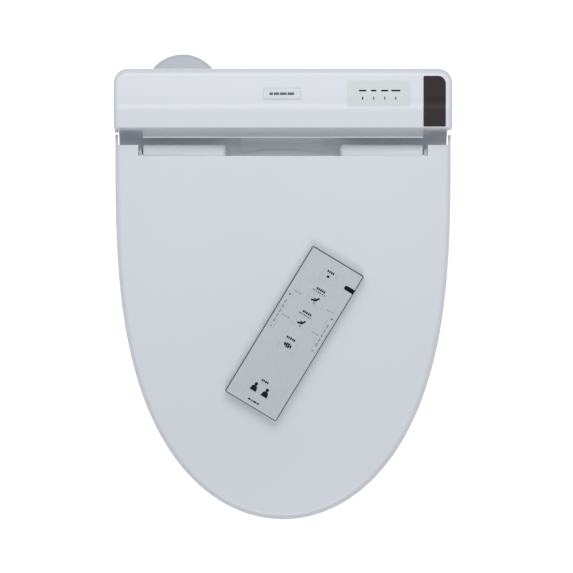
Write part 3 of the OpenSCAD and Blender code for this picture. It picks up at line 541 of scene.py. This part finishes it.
def make_lid():
    """The hollow lid with its crowned roof, its ears and the round cheeks over the hinge line."""
    lid = lid_solid("lid", 0, 0, HINGE.y + 28 * MM, 0)
    hollow = lid_solid("hollow", LID_WALL, LID_ROOF, HINGE.y + 40 * MM, 20 * MM)
    cut(lid, hollow)
    cut(lid, lid_ear(1), lid_ear(-1), operation="UNION")
    inner = LID_HALF_W - LID_WALL
    cut(lid, block("middle", (-EAR_IN, LID_EDGE_Y, 0), (EAR_IN, 0.02, FAR)))
    for side in (-1, 1):
        x0, x1 = by_side(side, EAR_IN - 1 * MM, inner)
        cut(lid, block("behind_ear", (x0, HINGE.y + EAR_R, 0), (x1, 0.03, FAR)))
        cut(lid, lid_rear_cutter(*by_side(side, inner - 0.05 * MM, LID_HALF_W + 5 * MM)))
    ear_face = EAR_IN - 1 * MM
    cut(lid, rod("right_bore", ear_face, RIGHT_BORE_END, BORE_R))
    cut(lid, rod("left_hole", -LEFT_HOLE_END, -ear_face, AXLE_HOLE_R))
    finish_edges(lid, 0.7 * MM)
    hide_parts("lid_shell")
    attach(lid, "lid")
    dress(lid, "white_gloss")


# ---------- seat ----------
SEAT_INSET = 6.5 * MM
SEAT_REAR_Y = HINGE.y - 16 * MM
SEAT_CORNER_R = 12 * MM
SEAT_FLOOR = seat_bottom_low.z
SEAT_JOINT = 20 * MM
SEAT_WALL = 3 * MM
OPENING_HALF_W = 105 * MM
OPENING_REAR_Y = -132 * MM
OPENING_FRONT_Y = -402 * MM
BRIDGE_Z = 50 * MM
WAY_LEFT = -36 * MM
WAY_RIGHT = 62 * MM
JOINT_GAP = 0.15 * MM
FOIL = 0.5 * MM
ROUND_STEPS = 6
DISH_STEPS = 8
OUTLINE_STEPS = 64
OPENING_MIDDLE_Y = (OPENING_REAR_Y + OPENING_FRONT_Y) / 2


def seat_outline():
    """The seat's outer outline, closed, from the tip round by the right."""
    ring = [(x, y) for x, y, z in lid_ring(SEAT_INSET, SEAT_REAR_Y, lambda y: 0, OUTLINE_STEPS)]
    right = ring[:OUTLINE_STEPS + 1]
    kept = [p for p in right if p[1] < SEAT_REAR_Y - SEAT_CORNER_R]
    corner_x = right[-1][0] - SEAT_CORNER_R
    for i in range(1, 9):
        a = math.radians(90 * i / 8)
        kept.append((corner_x + SEAT_CORNER_R * math.cos(a), SEAT_REAR_Y - SEAT_CORNER_R * (1 - math.sin(a))))
    rear_steps = 16
    kept += [(corner_x * (1 - i / rear_steps), SEAT_REAR_Y) for i in range(1, rear_steps + 1)]
    return kept + [(-x, y) for x, y in kept[-2:0:-1]]


def opening_point(angle):
    """Point of the seat's egg-shaped opening at the polar angle about its middle."""
    long = (OPENING_REAR_Y - OPENING_FRONT_Y) / 2
    turn = angle
    for _ in range(12):
        x = OPENING_HALF_W * math.cos(turn) * (1 + 0.07 * math.sin(turn))
        y = long * math.sin(turn)
        error = math.atan2(y, x) - angle
        turn -= (error + math.pi) % math.tau - math.pi
    return Vector((x, OPENING_MIDDLE_Y + y))


def seat_spokes():
    """Each point of the outline, with the direction and the way to the opening and the height of the top."""
    middle = Vector((0, OPENING_MIDDLE_Y))
    for x, y in seat_outline():
        outer = Vector((x, y))
        inner = opening_point(math.atan2(y - middle.y, x))
        yield outer, (inner - outer).normalized(), (inner - outer).length, seat_top(y)


def seat_section(width, wall):
    """Upper side across the ring, points of (distance from the outer edge, depth below the top)."""
    outer_r = 9 * MM - wall
    inner_r = 13 * MM - wall
    dish = 3.5 * MM
    points = []
    for i in range(ROUND_STEPS + 1):
        a = math.radians(90 * i / ROUND_STEPS)
        points.append((wall + outer_r * (1 - math.cos(a)), wall + outer_r * (1 - math.sin(a))))
    first, last = wall + outer_r, width - wall - inner_r
    for i in range(1, DISH_STEPS + 1):
        share = i / (DISH_STEPS + 1)
        points.append((first + (last - first) * share, wall + dish * share * share * (3 - 2 * share)))
    for i in range(ROUND_STEPS + 1):
        a = math.radians(90 * i / ROUND_STEPS)
        points.append((last + inner_r * math.sin(a), wall + dish + inner_r * (1 - math.cos(a))))
    return points


def seat_solid(name, wall, low, high=None):
    """The seat ring above low, or with a wall thickness its cavity; high, if given, cuts it off flat."""
    columns = []
    for outer, along, width, top in seat_spokes():
        section = [(wall, None), *seat_section(width, wall), (width - wall, None)]
        column = []
        for distance, depth in section:
            point = outer + along * distance
            height = low if depth is None else top - depth
            if high is not None and depth is not None:
                height = min(height, high)
            column.append((point.x, point.y, height))
        columns.append(column)
    bm = bmesh.new()
    verts = [[bm.verts.new(p) for p in column] for column in columns]
    for first, second in zip(verts, verts[1:] + verts[:1]):
        for i in range(len(first)):
            j = (i + 1) % len(first)
            bm.faces.new((first[i], first[j], second[j], second[i]))
    return from_bmesh(name, bm)


def bar_shape(side):
    """One hinge bar, with a round inner end."""
    x0, x1 = 65 * MM, 160.2 * MM
    radius, round_r = 13.5 * MM, 4.6 * MM
    rings = []
    for i in range(7):
        a = math.radians(90 * i / 6)
        rings.append((x0 + round_r * (1 - math.cos(a)), radius - round_r * (1 - math.sin(a))))
    rings += [(x1 - 0.8 * MM, radius), (x1, radius - 0.8 * MM)]
    circles = [[(side * x, y, z) for y, z in arc(HINGE.y, HINGE.z, r, 0, 354, 59)] for x, r in rings]
    return loft("bar", circles)


def bar_web(side):
    """The web that joins a bar to the ring."""
    top = seat_top(SEAT_REAR_Y)
    points = [(SEAT_REAR_Y - 6 * MM, 58 * MM), (HINGE.y - 3 * MM, HINGE.z - 12 * MM), (HINGE.y, HINGE.z),
              (HINGE.y - 3 * MM, HINGE.z + 12.5 * MM), (SEAT_REAR_Y - 4 * MM, top - 2 * MM),
              (SEAT_REAR_Y - 6 * MM, top - 3 * MM)]
    x0, x1 = by_side(side, 67 * MM, 159 * MM)
    return prism("web", points, x0, x1, "x")


def make_seat_heater():
    """Heating foil under the seat's dished top, clear of its round edges."""
    rings = [[] for _ in range(2 * DISH_STEPS)]
    for outer, along, width, top in seat_spokes():
        upper = seat_section(width, SEAT_WALL + JOINT_GAP)[ROUND_STEPS + 1:ROUND_STEPS + 1 + DISH_STEPS]
        lower = [(distance, depth + FOIL) for distance, depth in upper[::-1]]
        for ring, (distance, depth) in zip(rings, upper + lower):
            point = outer + along * distance
            ring.append((point.x, point.y, top - depth))
    heater = loft("seat_heater_look", rings + rings[:1], cap_start=False, cap_end=False)
    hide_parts("seat_heater")
    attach(heater, "seat")
    dress(heater, "heater_foil")


def make_seat_shell(name, low, high, upper):
    """The seat's top or bottom shell, hollow, with the way for the wand cut through its rear."""
    way = ((WAY_LEFT, OPENING_REAR_Y - 20 * MM, -0.01), (WAY_RIGHT, 0, BRIDGE_Z))
    wide_way = ((WAY_LEFT - SEAT_WALL, way[0][1] - SEAT_WALL, -0.01),
                (WAY_RIGHT + SEAT_WALL, 0, BRIDGE_Z + SEAT_WALL))
    shell = seat_solid(name + "_look", 0, low, high)
    cavity = seat_solid("cavity", SEAT_WALL, low - 5 * MM if upper else low + SEAT_WALL)
    cut(cavity, block("way", *wide_way))
    cut(shell, cavity, block("way", *way))
    if upper:
        for side in (-1, 1):
            cut(shell, bar_shape(side), bar_web(side), operation="UNION")
            cut(shell, rod("bore", *by_side(side, 104 * MM, 162 * MM), BORE_R))
    finish_edges(shell, 0.6 * MM, harden=not upper)
    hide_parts(name)
    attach(shell, "seat")
    dress(shell, "white_gloss" if upper else "white_matte")


def make_seat():
    make_seat_shell("seat_top", SEAT_JOINT + JOINT_GAP, None, True)
    make_seat_shell("seat_bottom", SEAT_FLOOR, SEAT_JOINT - JOINT_GAP, False)


# ---------- main unit ----------
FOLD_Y = 4 * MM
BROW_Y = -23.6 * MM
BROW_Z = 122 * MM
COVER_WALL = 2.6 * MM
COVER_HALF_W = cover_high.x
RECESS_X = 160.6 * MM
DEEP_WALL_Y = BROW_Y - 2.4 * MM
TOP_ROUND = 5 * MM
REAR_ROUND = 16 * MM
FRONT_ROUND = 2.5 * MM
FOLD_ROUND = 40 * MM
INLAY_GAP = 0.22 * MM
# the sloping face between the flat top and its front edge
FACE_SLOPE = math.atan2(cover_high.z - BROW_Z, FOLD_Y - BROW_Y)


def round_in(radius, distance):
    """How far a side lies in at that distance from an end rounded with radius."""
    return 0 if distance >= radius else radius - math.sqrt(radius ** 2 - (radius - distance) ** 2)


def cover_form(name, wall, foot):
    """The upper cover's outer form, or with a wall thickness the hollow inside it."""
    side = [(cover_low.y, foot, 0), (cover_high.y, foot, 0), (cover_high.y, cover_high.z, 8 * MM),
            (FOLD_Y, cover_high.z, FOLD_ROUND), (BROW_Y, BROW_Z, FRONT_ROUND)]
    rear_r = REAR_ROUND - wall
    steps = 15
    stations = [rear_r * (1 - math.cos(math.radians(90 * i / steps))) for i in range(steps + 1)]
    rings = []
    for distance in stations:
        rear = wall + round_in(rear_r, distance)
        top = wall + round_in(TOP_ROUND - wall, distance)
        front = wall + round_in(max(FRONT_ROUND - wall, 0), distance)
        moved = (0, rear, top, top, front)
        outline = round_outline(offset_outline(side, moved))
        rings.append((COVER_HALF_W - wall - distance, outline))
    right = [[(x, y, z) for y, z in outline] for x, outline in rings]
    left = [[(-x, y, z) for y, z in outline] for x, outline in rings[::-1]]
    return loft(name, right + left)


def pocket(cover, outline, depth, gap):
    """Sinks a pocket for a flush piece into the cover's top: its floor follows the top, depth below it."""
    reach = 0.08
    front_y, front_z = FOLD_Y - reach, cover_high.z - reach * math.tan(FACE_SLOPE)
    rear_y = 0.06
    normal = Vector((-math.sin(FACE_SLOPE), math.cos(FACE_SLOPE)))
    floor = [(front_y - normal.x * depth, front_z - normal.y * depth, 0),
             (FOLD_Y + math.tan(FACE_SLOPE / 2) * depth, cover_high.z - depth, FOLD_ROUND),
             (rear_y, cover_high.z - depth, 0), (rear_y, FAR, 0), (front_y, FAR, 0)]
    xs = [x for x, y in outline]
    slab = prism("slab", round_outline(floor, 12), min(xs) - 5 * MM, max(xs) + 5 * MM, "x")
    plan = prism("plan", grown(outline, gap), 0.08, 0.19)
    cut(slab, plan, operation="INTERSECT")
    cut(cover, slab)


def grown(outline, gap):
    """A plan outline with every point moved away from the middle of its box by gap."""
    xs = [x for x, y in outline]
    ys = [y for x, y in outline]
    middle_x, middle_y = (min(xs) + max(xs)) / 2, (min(ys) + max(ys)) / 2
    return [(x + math.copysign(gap, x - middle_x), y + math.copysign(gap, y - middle_y)) for x, y in outline]


def inlay_outline(node, radii):
    """Plan outline of a flush CAD piece, with its corner radii from the front left anticlockwise."""
    low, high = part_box(node)
    corners = [(low.x, low.y), (high.x, low.y), (high.x, high.y), (low.x, high.y)]
    return round_outline([(x, y, r * MM) for (x, y), r in zip(corners, radii)])


def cut_corners(obj, inner_x, rear_y):
    """Cuts away both front corners, which leaves room for the lid's cheeks."""
    for side in (-1, 1):
        x0, x1 = by_side(side, inner_x, 0.3)
        cut(obj, block("corner", (x0, -0.1, 0), (x1, rear_y, FAR)))


def make_cover():
    """The upper cover, with pockets for the window, the panel and the badge."""
    cover = cover_form("upper_cover_look", 0, cover_low.z)
    hollow = cover_form("hollow", COVER_WALL, cover_low.z - 10 * MM)
    cut_corners(hollow, RECESS_X - COVER_WALL, DEEP_WALL_Y + COVER_WALL)
    cut(cover, hollow)
    cut_corners(cover, RECESS_X, DEEP_WALL_Y)
    pocket(cover, inlay_outline("sensor_window", (1.4, 1.4, 9, 1.4)), 1.7 * MM, INLAY_GAP)
    pocket(cover, inlay_outline("indicator_panel", (1.2, 1.2, 1.2, 1.2)), 0.55 * MM, 0.05 * MM)
    pocket(cover, inlay_outline("badge_plate", (1, 1, 1, 1)), 0.55 * MM, INLAY_GAP)
    low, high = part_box("power_button")
    hole_r = 7.3 * MM
    cut(cover, rod("button_hole", COVER_HALF_W - 6 * MM, COVER_HALF_W + 1 * MM, hole_r,
                   (low.y + high.y) / 2, (low.z + high.z) / 2))
    finish_edges(cover, 0.5 * MM)
    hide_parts("upper_cover")
    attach(cover, "main_unit")
    paint(cover, "cover_white", "white_gloss")


def drum(name, x, y, section, count=120):
    """A round body about a vertical axis over a section of (radius, z) points."""
    angles = [math.tau * i / count for i in range(count)]
    return loft(name, [[(x + r * math.cos(a), y + r * math.sin(a), z) for a in angles] for r, z in section])


def make_inlet_cover():
    """The round bulge behind the unit, over the inlet valve."""
    low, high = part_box("inlet_cover")
    radius, top_r, wall = 44 * MM, 6 * MM, 2.4 * MM
    middle_x = (low.x + high.x) / 2
    middle_y = high.y - radius
    section = [(radius, low.z)]
    for i in range(9):
        a = math.radians(90 * i / 8)
        section.append((radius - top_r * (1 - math.cos(a)), high.z - top_r * (1 - math.sin(a))))
    bulge = drum("inlet_cover_look", middle_x, middle_y, section)
    hollow = [(radius - wall, low.z + wall), (radius - wall, high.z - wall)]
    inside = drum("inside", middle_x, middle_y, hollow)
    cut(bulge, inside, block("front", (-FAR, -0.06, 0), (FAR, low.y, 0.1)))
    finish_edges(bulge, 0.8 * MM)
    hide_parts("inlet_cover")
    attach(bulge, "main_unit")
    # a darker copy of the unit's white plastic: painted shade on the bulge
    paint(bulge, "bulge_painted_shade", "white_matte")


# ---------- remote, in mm ----------
REMOTE_W = 68.2
REMOTE_L = 195.1
REMOTE_H = 15
REMOTE_FACE = 13
RIM_W = 1.1
KEY_GAP = 0.06
KEY_STEM = 0.8
ROCKER_DEPTH = 1.6
INK_LOW = REMOTE_H - 0.03
INK_HIGH = REMOTE_H + 0.03
WINDOW_V = 75.75
WINDOW_R = 2.6
# middle across and along the remote, width and length of each key
KEYS = {
    "stop_key": (-0.4, 76, 18, 14),
    "rear_key": (0.2, 46, 20, 13),
    "front_key": (0.2, 16, 20, 13),
    "dryer_key": (0.2, -15, 20, 13),
    "user_key_1": (-7.8, -74, 12.5, 13),
    "user_key_2": (7.2, -74, 12.5, 13),
    "pressure_rocker": (-28, 16, 7, 46),
    "position_rocker": (28, 16, 7, 46),
}
# widths of the bars that stand for the letters of a label and for the words of a line
LETTERS = (1.9, 1.5, 2.1, 1.7, 1.9)
SMALL_WORDS = (3.4, 2.0, 4.2, 2.8, 2.0)


def remote_place(u, v, w):
    """A point given in mm across and along the remote and above the lid's top plane."""
    ground = REMOTE_MIDDLE - LID_NORMAL * FACE_MIDDLE
    return ground + (REMOTE_U * u + REMOTE_V * v + LID_NORMAL * w) * MM


def ink(name, outlines, body, material="ink_dark"):
    """Thin printed shapes on the remote's face: each outline is a list of (u, v) points in mm."""
    bm = bmesh.new()
    for outline in outlines:
        rings = [[bm.verts.new(remote_place(u, v, w)) for u, v in outline] for w in (INK_LOW, INK_HIGH)]
        count = len(outline)
        for i in range(count):
            j = (i + 1) % count
            bm.faces.new((rings[0][i], rings[0][j], rings[1][j], rings[1][i]))
        bm.faces.new(rings[0][::-1])
        bm.faces.new(rings[1])
    obj = from_bmesh(name, bm)
    set_smooth(obj, False)
    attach(obj, body)
    paint(obj, material, "dark_resin")


def bar(u, v, width, height):
    """A small rectangle with round ends."""
    radius = min(width, height) * 0.45
    return rounded_box(u - width / 2, v - height / 2, u + width / 2, v + height / 2, radius, 3)


def words(u, v, widths, height=1.9, gap=0.7):
    """A row of short bars that stands for a label."""
    start = u - (sum(widths) + gap * (len(widths) - 1)) / 2
    rows = []
    for width in widths:
        rows.append(bar(start + width / 2, v, width, height))
        start += width + gap
    return rows


def stroke(points, width):
    """Outline of a thick line through (u, v) points."""
    left, right = [], []
    for i, point in enumerate(points):
        here = Vector(point)
        before = Vector(points[max(i - 1, 0)])
        after = Vector(points[min(i + 1, len(points) - 1)])
        arriving = (here - before).normalized() if i else (after - here).normalized()
        leaving = (after - here).normalized() if i + 1 < len(points) else arriving
        normal = Vector((-(arriving + leaving).y, (arriving + leaving).x)).normalized()
        reach = width / 2 / max(0.5, normal.dot(Vector((-arriving.y, arriving.x))))
        left.append(tuple(here + normal * reach))
        right.append(tuple(here - normal * reach))
    return left + right[::-1]


def disc(u, v, radius, start=0, end=360, steps=20):
    """A disc, or with other angles a slice of one cut off straight."""
    angles = [math.radians(start + (end - start) * i / steps) for i in range(steps + 1)]
    if end - start == 360:
        angles = angles[:-1]
    return [(u + radius * math.cos(a), v + radius * math.sin(a)) for a in angles]


def wash_icon(u, v):
    """A reclined seat line and a fan of water below it."""
    seat = stroke([(u - 4.4, v - 1.7), (u + 0.9, v - 0.3), (u + 3.6, v + 4.0)], 2.2)
    edge = disc(u - 0.6, v + 0.6, 1.5, 0, 180, 8)
    start = u + 0.4
    fan = [stroke([(start, v - 2.2), (start + reach, v - 4.8)], 0.5) for reach in (-0.6, 0.5, 1.6)]
    return [seat, edge], fan


def air_icon(u, v):
    """Waves of warm air, close together, highest in the middle."""
    waves = []
    for k, half in ((-3.6, 1.7), (-1.2, 3.0), (1.2, 3.0), (3.6, 1.7)):
        points = [(u + k + 0.5 * math.sin(i * math.pi / 4), v + half * (i - 5) / 5) for i in range(11)]
        waves.append(stroke(points, 1.8))
    return waves


def person_icon(u, v):
    """A round head over broad round shoulders."""
    body = [(u - 4.2, v - 4.8), (u + 4.2, v - 4.8)] + disc(u, v - 1.6, 3.6, 20, 160, 12)
    return [disc(u, v + 3.7, 2.0), body]


def remote_prism(name, outline, low, high):
    """A prism over an outline of (u, v) points in mm, between two heights above the lid."""
    return loft(name, [[remote_place(u, v, w) for u, v in outline] for w in (low, high)])


def key_outline(u, v, width, length, gap=0.0):
    """A key's outline, or with a gap that of the hole round it."""
    half_w, half_l = width / 2 + gap, length / 2 + gap
    return rounded_box(u - half_w, v - half_l, u + half_w, v + half_l, 1.5 + gap)


def window_outline(gap=0.0):
    """The sender window: round at its inner end, cut off at the remote's side."""
    radius = WINDOW_R + gap
    left = disc(23.8, WINDOW_V, radius, 90, 270, 12)
    return left + [(REMOTE_W / 2, WINDOW_V - radius), (REMOTE_W / 2, WINDOW_V + radius)]


def remote_box(inset, radius):
    """The remote's outline, moved in by inset."""
    half_w, half_l = REMOTE_W / 2 - inset, REMOTE_L / 2 - inset
    return rounded_box(-half_w, -half_l, half_w, half_l, radius)


def make_face():
    """The silver face plate, with holes for the keys and the window."""
    face = remote_prism("remote_face_look", remote_box(RIM_W, 0.5), REMOTE_FACE, REMOTE_H)
    for box in KEYS.values():
        hole = key_outline(*box, gap=KEY_GAP)
        cut(face, remote_prism("hole", hole, REMOTE_FACE - 1, REMOTE_H + 1))
    cut(face, remote_prism("hole", window_outline(0.05), REMOTE_FACE - 1, REMOTE_H + 1))
    finish_edges(face, 0.05 * MM, 2)
    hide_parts("remote_face")
    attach(face, "remote")
    paint(face, "silver_face", "silver_plate")


def make_rim():
    """The dark metal rim round the face."""
    steps = [(0, REMOTE_FACE), (0, REMOTE_H - 1), (RIM_W - 0.15, REMOTE_H - 0.05),
             (RIM_W, REMOTE_H - 0.15), (RIM_W, REMOTE_FACE)]
    rings = [[remote_place(u, v, w) for u, v in remote_box(inset, 1.6 - inset)] for inset, w in steps]
    rim = loft("remote_rim", rings + rings[:1], cap_start=False, cap_end=False)
    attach(rim, "remote")
    paint(rim, "remote_rim", "silver_plate")


def make_window():
    """The sender's dark window in the face."""
    window = remote_prism("remote_window_look", window_outline(), REMOTE_FACE, REMOTE_H)
    finish_edges(window, 0.2 * MM, 2)
    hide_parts("remote_window")
    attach(window, "remote")
    paint(window, "dark_window", "smoked_window")


def make_keys():
    """The flush keys and rockers, each on its own body."""
    for node, box in KEYS.items():
        low = REMOTE_H - ROCKER_DEPTH if "rocker" in node else REMOTE_FACE - KEY_STEM
        key = remote_prism(node + "_look", key_outline(*box), low, REMOTE_H)
        finish_edges(key, 0.05 * MM, 2)
        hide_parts(node)
        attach(key, NODES[node]["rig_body"])
        paint(key, "silver_face", "silver_plate")


def make_remote():
    make_face()
    make_rim()
    make_window()
    make_keys()
    dress(soften("remote_case", 0.7 * MM, 3), "remote_shell")
    dress(soften("battery_cover", 0.15 * MM), "remote_shell")


def make_print():
    """Generic marks on the remote: short bars stand for its labels."""
    ink("stop_label", words(-0.6, 81.8, LETTERS[:4], 2.9, 0.5), "key_stop")
    ink("stop_mark", [bar(-0.9, 76.0, 3.1, 3.1)], "key_stop")
    for name, v in (("rear", 45.5), ("front", 14.8)):
        body = "key_" + name
        seat, fan = wash_icon(0.2, v)
        ink(name + "_mark", seat, body)
        ink(name + "_water", fan, body, "ink_grey")
        ink(name + "_label", words(0.2, v + 13, LETTERS, 2.9, 0.5), "remote")
        ink(name + "_small_label", words(-0.2, v + 9.6, SMALL_WORDS, 1.2, 0.6), "remote", "ink_grey")
    ink("dryer_mark", air_icon(0.2, -15.2), "key_dryer")
    ink("dryer_label", words(-0.4, -6.8, LETTERS, 2.9, 0.5), "remote")
    for number, u in ((1, -7.4), (2, 7.2)):
        ink(f"user_mark_{number}", person_icon(u, -75.4), f"key_user_{number}")
    ink("user_label", words(-0.2, -64.3, LETTERS[:4], 2.9, 0.5), "remote")
    ink("maker_label", words(0, -90.6, SMALL_WORDS[:4], 2.0, 0.7), "remote")
    for name, u in (("pressure", -28), ("position", 28)):
        body = "rocker_" + name
        dashes = [bar(u, 14.6 + k * 6.2, 2.0, 4.8) for k in (-2, -1, 0, 1, 2)]
        ink(name + "_scale", dashes, body, "ink_light")
        plus = [bar(u, 36.4, 3.0, 0.8), bar(u, 36.4, 0.8, 3.0)]
        minus = [bar(u, -5.6, 3.0, 0.8)]
        ink(name + "_ends", plus + minus, body, "ink_grey")
    guides = []
    for u, v in ((-21.5, 43), (22, 43), (-19, 12.5), (20, 12.5)):
        guides += words(u, v, (3, 2, 3), 1.3)
    ink("guide_marks", guides, "remote", "ink_light")


# ---------- the rest of the nodes ----------
# width in mm of the rounding on the CAD pieces that show
SOFT_EDGES = {
    "lower_case": 0.5, "nozzle_cover": 0.6, "base_plate": 0.6, "release_button": 0.8, "power_button": 0.5,
    "cord_gland": 0.5, "filter_knob": 0.4, "sensor_window": 0.25, "indicator_panel": 0.1, "badge_plate": 0.1,
    "deodorizer_cartridge": 0.3, "dryer_flap": 0.3, "inlet_spigot": 0.4, "seat_pads": 1.2, "lid_pads": 1.0,
}


def dress_nodes():
    """Rounds the edges of the pieces that show and gives every CAD node its finish."""
    slots = {part["node"]: part["material_slot"] for part in frame["record"]["subparts"]}
    for node, width in SOFT_EDGES.items():
        dress(soften(node, width * MM), slots[node])
    for node, obj in NODES.items():
        if not obj.hide_render:
            dress(obj, slots[node])


# ---------- print on the unit, in mm ----------
LAMP_X = 91
LAMP_PITCH = 12.6
LAMP_LABELS = (8.4, 6.2, 8.4, 10.4)
# place from the badge's middle and width of each bar
BADGE_BARS = ((-12.6, 4.0), (-6.6, 6.0), (1.2, 7.6), (9.8, 7.6))


def panel_mark(name, x, y, width, height, top, material):
    """A flat printed mark on the unit's top, with places and sizes in mm."""
    half_w, half_h = width / 2, height / 2
    corners = ((x - half_w) * MM, (y - half_h) * MM, (x + half_w) * MM, (y + half_h) * MM)
    outline = rounded_box(*corners, 0.3 * MM, 3)
    mark = prism(name, outline, top - 0.02 * MM, top + 0.03 * MM)
    set_smooth(mark, False)
    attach(mark, "main_unit")
    paint(mark, material, "dark_resin")


def make_panel_print():
    """Four lamps with bars for their labels on the indicator panel, and a row of bars on the badge."""
    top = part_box("indicator_panel")[1].z
    for i, width in enumerate(LAMP_LABELS):
        x = LAMP_X + LAMP_PITCH * i
        panel_mark(f"panel_label_{i + 1}", x, 18.8, width, 1.9, top, "ink_dark")
        panel_mark(f"panel_lamp_{i + 1}", x, 10.2, 1.4, 3.6, top, "ink_dark" if i == 0 else "ink_grey")
    low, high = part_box("badge_plate")
    middle = (low.x + high.x) / 2 / MM
    for i, (place, width) in enumerate(BADGE_BARS):
        panel_mark(f"badge_bar_{i + 1}", middle + place, 15.2, width, 3.0, high.z, "ink_grey")


# ---------- stage ----------
SENSOR = 36
CAMERA_HEIGHT = 24.0
FOCUS_HEIGHT = 0.08
VIEW_WIDTH = 0.656
VIEW_MIDDLE = Vector((4 * MM, -205 * MM))


def make_camera():
    """Straight above: the picture is VIEW_WIDTH wide at FOCUS_HEIGHT."""
    data = bpy.data.cameras.new("camera")
    data.sensor_width = SENSOR
    data.lens = SENSOR * (CAMERA_HEIGHT - FOCUS_HEIGHT) / VIEW_WIDTH
    data.clip_end = 50
    camera = bpy.data.objects.new("camera", data)
    bpy.context.scene.collection.objects.link(camera)
    camera.location = (VIEW_MIDDLE.x, VIEW_MIDDLE.y, CAMERA_HEIGHT)
    bpy.context.scene.camera = camera


def area_light(name, location, target, size, power):
    """A soft box of the given size, turned towards target."""
    data = bpy.data.lights.new(name, "AREA")
    data.shape = "RECTANGLE"
    data.size, data.size_y = size
    data.energy = power
    light = bpy.data.objects.new(name, data)
    bpy.context.scene.collection.objects.link(light)
    light.location = location
    light.rotation_euler = (Vector(target) - Vector(location)).to_track_quat("-Z", "Y").to_euler()


def make_light():
    """Soft studio light: a pale world, a box above the rear and a large one in front."""
    world = bpy.data.worlds.new("studio")
    world.use_nodes = True
    world.node_tree.nodes["Background"].inputs["Color"].default_value = (0.86, 0.92, 1.0, 1)
    world.node_tree.nodes["Background"].inputs["Strength"].default_value = 0.46
    bpy.context.scene.world = world
    area_light("overhead", (0, 0.45, 1.25), (0, 0, 0), (1.0, 0.8), 6.1)
    area_light("front", (0, -4.2, 6.4), (0, -0.1, 0), (4.0, 2.6), 100)
    bpy.context.scene.view_settings.view_transform = "Standard"
    bpy.context.scene.view_settings.look = "None"


def make_floor():
    """Plain pale floor just below the part, bright enough to read as white."""
    bm = bmesh.new()
    bmesh.ops.create_grid(bm, x_segments=8, y_segments=8, size=4)
    floor = from_bmesh("floor", bm)
    floor.location.z = min(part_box(node)[0].z for node in NODES) - 0.2 * MM
    material, tree, shader = node_tree("floor")
    clouds = ramp(tree, noise(tree, 3), (0.7, 0.7, 0.7), (0.72, 0.72, 0.72))
    tree.links.new(clouds, shader.inputs["Base Color"])
    shader.inputs["Roughness"].default_value = 0.9
    shader.inputs["Specular IOR Level"].default_value = 0.1
    shader.inputs["Emission Color"].default_value = (1, 1, 1, 1)
    shader.inputs["Emission Strength"].default_value = 0.75
    floor.data.materials.append(material)
    floor.visible_diffuse = False


MATERIALS = make_materials()
make_camera()
make_lid()
make_seat()
make_seat_heater()
make_cover()
make_inlet_cover()
make_remote()
make_print()
make_panel_print()
dress_nodes()
make_light()
make_floor()
